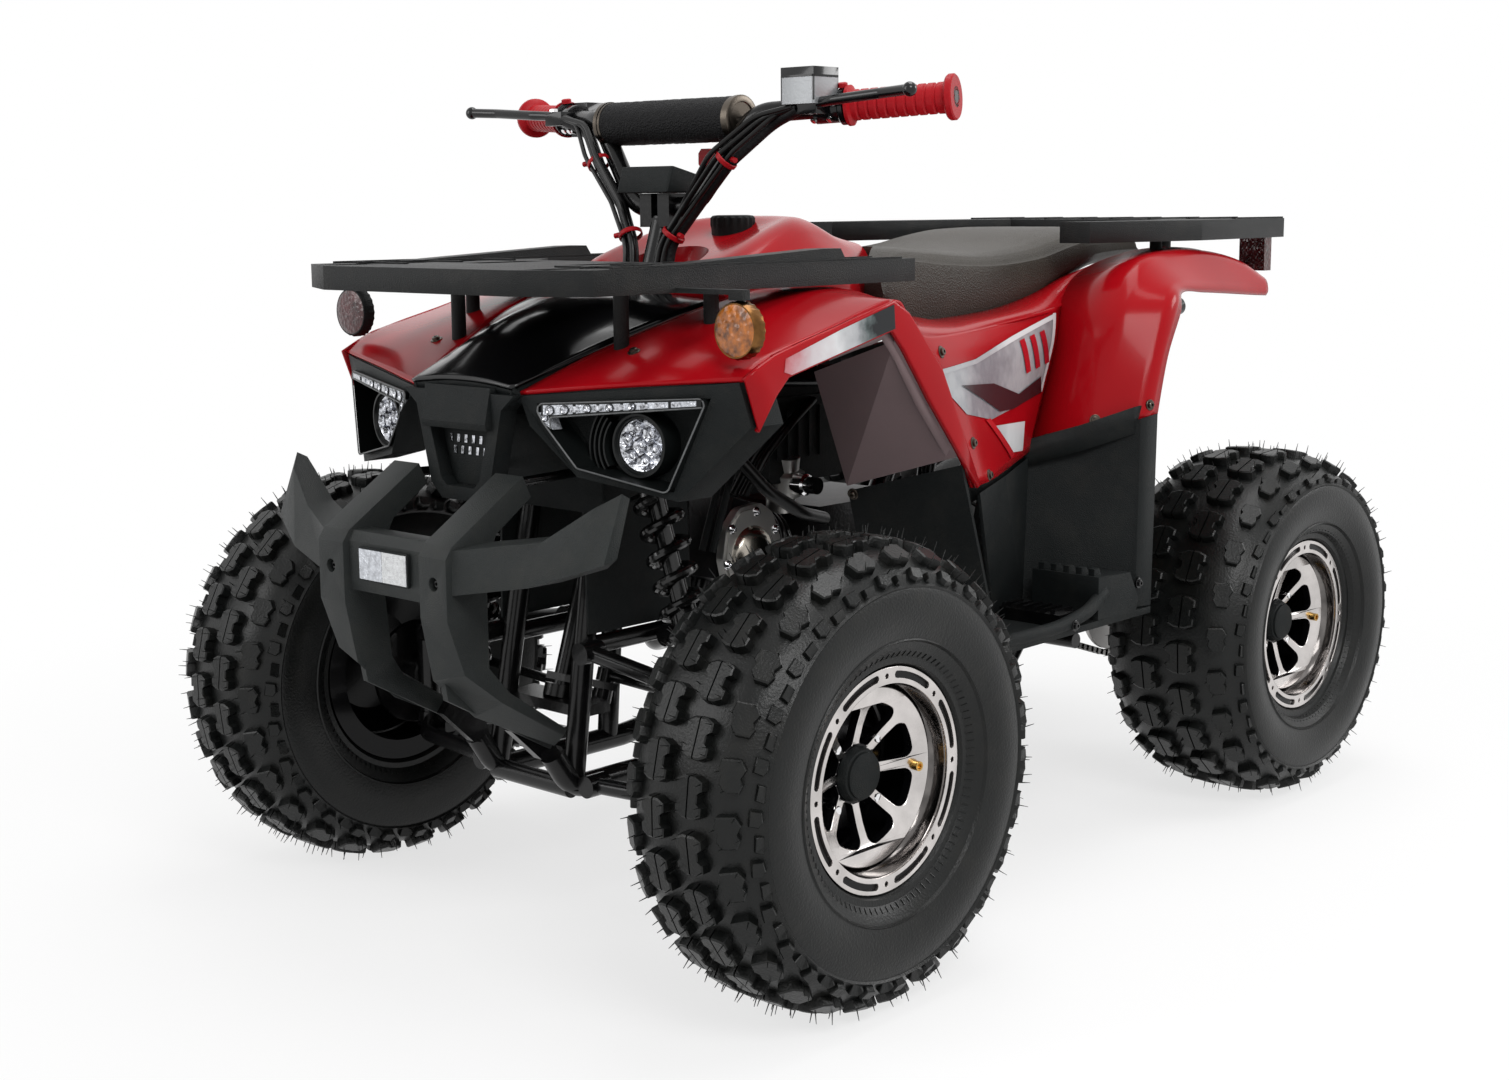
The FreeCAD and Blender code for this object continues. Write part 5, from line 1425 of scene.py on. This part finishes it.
# Each film's name, panel, print, height over the panel in metres, and outline as (x, z) in the side view
FILMS = [
    ("fender_fade", "fender_band_left", "fender_fade", 0.0006,
     [(466, 627), (464, 640), (380, 664.5), (297, 686), (295, 661), (320, 655.5), (390, 639), (455, 624)]),
    ("knee_field", "knee_panel_left", "knee_grey", 0.0008,
     [(226, 612), (110, 617), (-8, 634), (-160, 654), (-148, 616), (-126, 560), (-40, 552), (70, 546),
      (150, 560), (206, 594)]),
    ("knee_edge", "knee_panel_left", "knee_pale", 0.0014,
     [(-160, 654), (-150, 654), (-138, 616), (-118, 562), (-126, 560), (-148, 616)]),
    ("knee_top_line", "knee_panel_left", "knee_pale", 0.0014,
     [(226, 612), (110, 617), (-8, 634), (-160, 654), (-157, 648), (-8, 628), (108, 612), (218, 607)]),
    ("knee_wedge", "knee_panel_left", "knee_dark", 0.002,
     [(160, 592), (60, 586), (-30, 566), (-112, 580), (-122, 560), (-10, 550), (40, 552)]),
    *[("knee_bar_" + str(k), "knee_panel_left", "knee_red", 0.002,
       [(x - 34 * k, z + 3 * k) for x, z in ((-30, 628), (-46, 630), (-70, 590), (-54, 588))])
      for k in range(3)],
    ("knee_lower", "knee_panel_left", "knee_pale", 0.001, [(64, 538), (-66, 530), (-68, 494), (-8, 499)]),
    ("knee_lower_line", "knee_panel_left", "knee_red", 0.0016, [(92, 548), (76, 548), (-22, 496), (-8, 492)]),
    ("tank_stripe", "tank_shell", "knee_pale", 0.0005,
     [(336, 707), (262, 704), (236, 722), (250, 724), (272, 710), (330, 712)]),
    ("tank_patch", "tank_shell", "knee_pale", 0.0005,
     [(196, 702), (132, 700), (112, 722), (140, 728), (180, 722)]),
    ("tank_patch_bar", "tank_shell", "knee_red", 0.0007, [(168, 702), (156, 702), (136, 727), (148, 728)]),
]


def print_film(name, stops, start, length, noise_amount):
    """A printed film whose colour runs along x between stops, broken up by a little noise."""
    made, tree, surface = new_surface(name, {"Roughness": 0.18, "Metallic": 0.0, "Coat Weight": 0.08,
                                             "Specular IOR Level": 0.2})
    place = shade(tree, "TexCoord").outputs["Object"]
    x = shade(tree, "SeparateXYZ", {0: place}).outputs[0]
    along = shade(tree, "MapRange", {"From Min": start, "From Max": start + length, "Value": x})
    noise = shade(tree, "TexNoise", {"Scale": 45.0, "Detail": 6.0, "Vector": place})
    shift = shade(tree, "MapRange", {"To Min": -noise_amount, "To Max": noise_amount,
                                     "Value": noise.outputs["Fac"]})
    total = shade(tree, "Math", {0: along.outputs["Result"], 1: shift.outputs["Result"]}, operation="ADD")
    ramp = shade(tree, "ValToRGB", {"Fac": total.outputs[0]})
    elements = ramp.color_ramp.elements
    while len(elements) > 1:
        elements.remove(elements[-1])
    elements[0].position = stops[0][0]
    elements[0].color = [*stops[0][1], 1]
    for position, color in stops[1:]:
        elements.new(position).color = [*color, 1]
    feed(tree, surface, {"Base Color": ramp.outputs["Color"]})
    LOOKS[name] = made


def divide_edges(bm, longest):
    """Cut a flat face up until no edge is over a length, in seven rounds at most."""
    bmesh.ops.triangulate(bm, faces=bm.faces[:])
    for _ in range(7):
        long_edges = [e for e in bm.edges if e.calc_length() > longest]
        if not long_edges:
            break
        bmesh.ops.subdivide_edges(bm, edges=long_edges, cuts=1)
        bmesh.ops.triangulate(bm, faces=[f for f in bm.faces if len(f.verts) > 3])


def drop_on(bm, tree, direction, lift):
    """Drop a flat mesh along a direction on a surface; what misses it is left out."""
    missed = []
    for v in bm.verts:
        hit, normal, _, _ = tree.ray_cast(v.co, direction)
        if hit is None:
            missed.append(v)
            continue
        if normal.dot(direction) > 0:
            normal = -normal
        v.co = hit + normal * lift
    bmesh.ops.delete(bm, geom=missed, context="VERTS")
    bmesh.ops.recalc_face_normals(bm, faces=bm.faces)


def film(name, panel, look, lift, outline):
    """A thin film dropped from the left on its panel, and mirrored to the right."""
    inward = -LEFT
    bm = bmesh.new()
    bm.faces.new([bm.verts.new(mm(x, 300, z) - inward * 0.25) for x, z in outline])
    divide_edges(bm, 0.008)
    drop_on(bm, surface_of([panel]), inward, lift)
    mesh = bpy.data.meshes.new(name + "_left")
    bm.to_mesh(mesh)
    bm.free()
    if sum(p.normal.dot(inward) for p in mesh.polygons) > 0:
        mesh.flip_normals()
    mesh.materials.append(LOOKS[look])
    obj = bpy.data.objects.new(name + "_left", mesh)
    bpy.context.collection.objects.link(obj)
    smooth_by_angle(mesh, 30)
    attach(obj, "chassis")
    mirrored(obj, name + "_right", "chassis")


for print_name, print_sizes in PRINTS.items():
    print_film(print_name, *print_sizes)
for film_row in FILMS:
    film(*film_row)


# Engine, air box, drive chain and fuel cap

ENGINE_CASE = mm(70, 94, 325)


def engine_covers(form):
    """The polished cover, the case plate behind it and the round cover with its ring of bolts."""
    form.lathe([(-0.003, 0.035), (0.0005, 0.035), (0.002, 0.0335), (0.0045, 0.0325), (0.0085, 0.0285),
                (0.0115, 0.02), (0.0128, 0.01), (0.013, 0)], mm(243, 70, 390), LEFT, 44)
    case = [(196, 352), (192, 404), (206, 436), (226, 449), (262, 446), (284, 424), (290, 390), (280, 352)]
    for y0, y1, grow in ((58, 68.5, 0), (68.5, 71.0, -4)):
        face = rounded_outline([(x + grow * (x - 241) / 46, z + grow * (z - 400) / 46) for x, z in case], 12)
        form.rings([[mm(c.x, y, c.y) for c in face] for y in (y0, y1)], slot=2)
    for x, z in ((204, 416), (236, 440), (276, 424), (284, 384)):
        bolt(form, mm(x, 71, z), LEFT, 0.0036, 1)
    for i in range(6):
        a = math.tau * (i + 0.5) / 6
        bolt(form, ENGINE_CASE + spoke(0.062, a), LEFT, 0.0045, 1)
        bolt(form, mm(60, -112, 330) + spoke(0.07, a), -LEFT, 0.0045, 1)
    form.lathe([(0, 0.03), (0.004, 0.03), (0.006, 0.027), (0.006, 0.012), (0.009, 0.01), (0.009, 0)],
               ENGINE_CASE, LEFT, 32, 2)


def engine_hoses(form):
    """The hoses and wires over the engine."""
    for y in (28, 46, 40):
        route = [mm(228, y, 455), mm(205, y + 12, 500), mm(170, y + 20, 535), mm(120, y + 12, 560)]
        form.tube(arc_points(route, 0.05, 6), 0.0055 if y < 40 else 0.004, 12, 3)
    route = [mm(335, 66, 560), mm(300, 90, 520), mm(262, 112, 470), mm(212, 120, 440), mm(150, 100, 425)]
    form.tube(arc_points(route, 0.06, 8), 0.0075, 14, 3)


def engine_trim():
    form = Build()
    engine_covers(form)
    engine_hoses(form)
    form.lathe([(-0.038, 0.017), (-0.02, 0.018), (-0.016, 0.026), (0.01, 0.026), (0.014, 0.019),
                (0.03, 0.019)], mm(150, 34, 466), (0.1, 0.2, 0.9), 24, 2, True)
    form.lathe([(0, 0.013), (0.016, 0.013), (0.018, 0.01), (0.034, 0.01)], mm(150, 56, 462), LEFT,
               20, 1, True)
    form.make("engine_trim", ["bowl", "chrome", "silver", "cable"], "engine_metal")


def air_box():
    """The air filter's box over the engine, with a lid seam, ribs and its snorkel."""
    form = Build()
    for x0, x1, z0, z1, half, radius in ((58, 190, 464, 560, 50, 9), (56, 192, 560, 565, 53, 2),
                                         (60, 188, 565, 612, 49, 9)):
        face = rounded_outline(rectangle(x0, x1, z0, z1), radius)
        form.rings([[mm(c.x, y, c.y) for c in face] for y in (-half, half)])
    for k in range(5):
        x = 98 + 19 * k
        form.rings([[mm(x1, y, z) for x1, z in rectangle(x, x + 5, 492, 552)] for y in (-52, 52)])
    snorkel = [mm(186, 20, 590), mm(230, 20, 590), mm(262, 34, 560), mm(268, 44, 520)]
    form.tube(arc_points(snorkel, 0.03, 7), 0.019, 20)
    for y in (30, 46, -34):
        hose = [mm(188, y, 540), mm(238, y + 8, 528), mm(280, y + 22, 470), mm(300, y + 16, 400)]
        form.tube(arc_points(hose, 0.04, 7), 0.0042, 10)
    form.make("air_box", ["plastic"], "black_plastic")


def chain_loop():
    """The closed loop round both sprockets, the same as the chain's solid."""
    wheel_at, wheel_r = mm(-510, 72, 231), 0.08
    engine_at, engine_r = mm(-158, 72, 290), 0.027
    delta = engine_at - wheel_at
    heading = math.atan2(delta.z, delta.x)
    spread = math.acos((wheel_r - engine_r) / math.hypot(delta.x, delta.z))
    path = [(engine_at, engine_r, heading + spread - 2 * spread * k / 12) for k in range(13)]
    path += [(wheel_at, wheel_r, heading - spread - (math.tau - 2 * spread) * k / 36) for k in range(37)]
    points = [c + spoke(r, a) for c, r, a in path]
    return points + points[:1]


def chain_links():
    """The drive chain's rollers and side plates, set a pitch apart along its loop."""
    pitch = 0.0127
    form = Build()
    loop = chain_loop()
    at, spots = 0.0, []
    for start, end in zip(loop, loop[1:]):
        step = (end - start).length
        while at < step:
            spots.append(start.lerp(end, at / step))
            at += pitch
        at -= step
    for start, end in zip(spots, spots[1:] + spots[:1]):
        form.lathe([(-0.007, 0.0036), (0.007, 0.0036)], start, LEFT, 8, 0, True)
        if (end - start).length > pitch * 1.3:
            continue
        along = (end - start).normalized()
        up = along.cross(LEFT)
        face = [start - along * 0.003 - up * 0.004, end + along * 0.003 - up * 0.004,
                end + along * 0.003 + up * 0.004, start - along * 0.003 + up * 0.004]
        for y in (-0.0072, 0.006):
            form.rings([[v + Vector((0, y + dy, 0)) for v in face] for dy in (0, 0.0012)])
    form.make("chain_links", ["bare"], "bare_steel", replaces="drive_chain")


def fuel_cap_ribs():
    """The fuel cap, with ribs round its grip."""
    form = Build()
    at = mm(196, 0, 741)
    rings = []
    for along, radius in ((0, 0.024), (0.02, 0.025), (0.024, 0.0262), (0.032, 0.0262), (0.0345, 0.0235),
                          (0.0352, 0.018), (0.0335, 0.017), (0.0335, 0)):
        ribbed = 0.02 < along < 0.034
        ring = []
        for i in range(72):
            r = radius - (0.0016 if ribbed and i % 4 >= 2 else 0)
            a = math.tau * i / 72
            ring.append(at + Vector((r * math.cos(a), r * math.sin(a), along)))
        rings.append(ring)
    form.rings(rings)
    form.make("fuel_cap_ribbed", ["plastic"], "black_plastic", replaces="fuel_cap")


engine_trim()
air_box()
chain_links()
fuel_cap_ribs()


# Racks

def deck_rib(form, corners, side, deck, height):
    """A low rib on a rack's deck, from the corners of its outline in mm."""
    outline = [mm(x, y, 0) for x, y in corners]
    form.rings([[Vector((p.x, p.y * side, z)) for p in outline] for z in (deck - 0.001, deck + height)])


def rack_ribs():
    """The ribs moulded on both racks."""
    front_deck, rear_deck = 0.728, 0.764
    form = Build()
    for side in SIDES:
        for y0, y1 in ((176.5, 180), (218.5, 222.5)):
            deck_rib(form, rectangle(598, 160, y0, y1), side, front_deck, 0.0022)
        for x in (430, 505, 580):
            deck_rib(form, rectangle(x, x - 6, 120, 216), side, front_deck, 0.0018)
    for y in (-220, -149, -87, -24, 24, 87, 149, 220):
        deck_rib(form, rectangle(-690, -560, y - 3, y + 3), 1, rear_deck, 0.0022)
    form.make("rack_ribs", ["rack"], "rack_plastic")


rack_ribs()


# Floor, light and camera

def seen_rays(tree):
    """One for rays from the camera, off glossy surfaces and through glass, and none for the rest."""
    path = shade(tree, "LightPath")
    total = path.outputs["Is Camera Ray"]
    for ray in ("Is Glossy Ray", "Is Transmission Ray"):
        added = shade(tree, "Math", {0: total, 1: path.outputs[ray]}, operation="ADD", use_clamp=True)
        total = added.outputs[0]
    return total


def floor_material():
    """Pale floor that the camera sees go over to white away from the object, and that keeps its shadow."""
    made, tree, surface = new_surface("pale_floor", {"Base Color": (0.93, 0.93, 0.93, 1), "Roughness": 0.9,
                                                     "Specular IOR Level": 0.1})
    place = shade(tree, "TexCoord").outputs["Object"]
    reach = shade(tree, "VectorMath", {0: place}, operation="LENGTH")
    fade = shade(tree, "MapRange", {"From Min": 0.5, "From Max": 1.9, "To Min": 0.72,
                                    "Value": reach.outputs["Value"]}, interpolation_type="SMOOTHSTEP")
    white = shade(tree, "Math", {0: seen_rays(tree), 1: fade.outputs["Result"]}, operation="MULTIPLY")
    mix = shade(tree, "MixShader", {"Fac": white.outputs[0], 1: surface.outputs[0],
                                    2: shade(tree, "Emission").outputs[0]})
    feed(tree, tree.nodes["Material Output"], {"Surface": mix.outputs[0]})
    return made


def stage_floor():
    mesh = bpy.data.meshes.new("floor")
    half = 40.0
    mesh.from_pydata([(x, y, 0) for x, y in rectangle(-half, half, -half, half)], [], [(0, 1, 2, 3)])
    floor = bpy.data.objects.new("floor", mesh)
    bpy.context.collection.objects.link(floor)
    mesh.materials.append(floor_material())


def area_light(name, position, target, size, power):
    light = bpy.data.lights.new(name, "AREA")
    light.shape = "RECTANGLE"
    light.size = size[0]
    light.size_y = size[1]
    light.energy = power
    obj = bpy.data.objects.new(name, light)
    obj.location = position
    obj.rotation_euler = (Vector(target) - Vector(position)).to_track_quat("-Z", "Y").to_euler()
    bpy.context.collection.objects.link(obj)


def world_light():
    """Soft white light from all round, with a plain white background behind the object."""
    world = bpy.data.worlds.new("studio")
    bpy.context.scene.world = world
    world.use_nodes = True
    tree = world.node_tree
    base = tree.nodes["Background"]
    feed(tree, base, {"Color": (1.0, 1.0, 1.0, 1), "Strength": 0.36})
    seen = shade(tree, "Background", {"Color": (1.0, 1.0, 1.0, 1), "Strength": 1.0})
    mix = shade(tree, "MixShader", {"Fac": seen_rays(tree), 1: base.outputs[0], 2: seen.outputs[0]})
    feed(tree, tree.nodes["World Output"], {"Surface": mix.outputs[0]})


def photo_camera():
    """The camera that was fitted to the photograph."""
    sensor_width = 36.0
    right, up, forward = camera_axes()
    cam = bpy.data.cameras.new("photo_camera")
    cam.sensor_fit = "HORIZONTAL"
    cam.sensor_width = sensor_width
    cam.lens = PHOTO_FOCAL / PHOTO_SIZE[0] * sensor_width
    cam.clip_end = 100.0
    obj = bpy.data.objects.new("photo_camera", cam)
    rotation = Matrix((right, up, -forward)).transposed()
    obj.matrix_world = Matrix.Translation(CAMERA_AT) @ rotation.to_4x4()
    bpy.context.collection.objects.link(obj)
    bpy.context.scene.camera = obj


stage_floor()
world_light()
area_light("key", (1.6, 2.6, 2.7), (0.1, 0.1, 0.4), (1.6, 1.2), 58)
area_light("fill", (3.0, -1.6, 1.8), (0.0, 0.0, 0.4), (1.6, 1.6), 28)
area_light("top", (-0.3, 0.2, 3.2), (0.0, 0.0, 0.4), (2.0, 1.4), 42)
area_light("rear", (-2.6, 1.9, 1.9), (-0.2, 0.0, 0.4), (1.4, 1.0), 30)
photo_camera()
bpy.context.scene.view_settings.view_transform = "Standard"
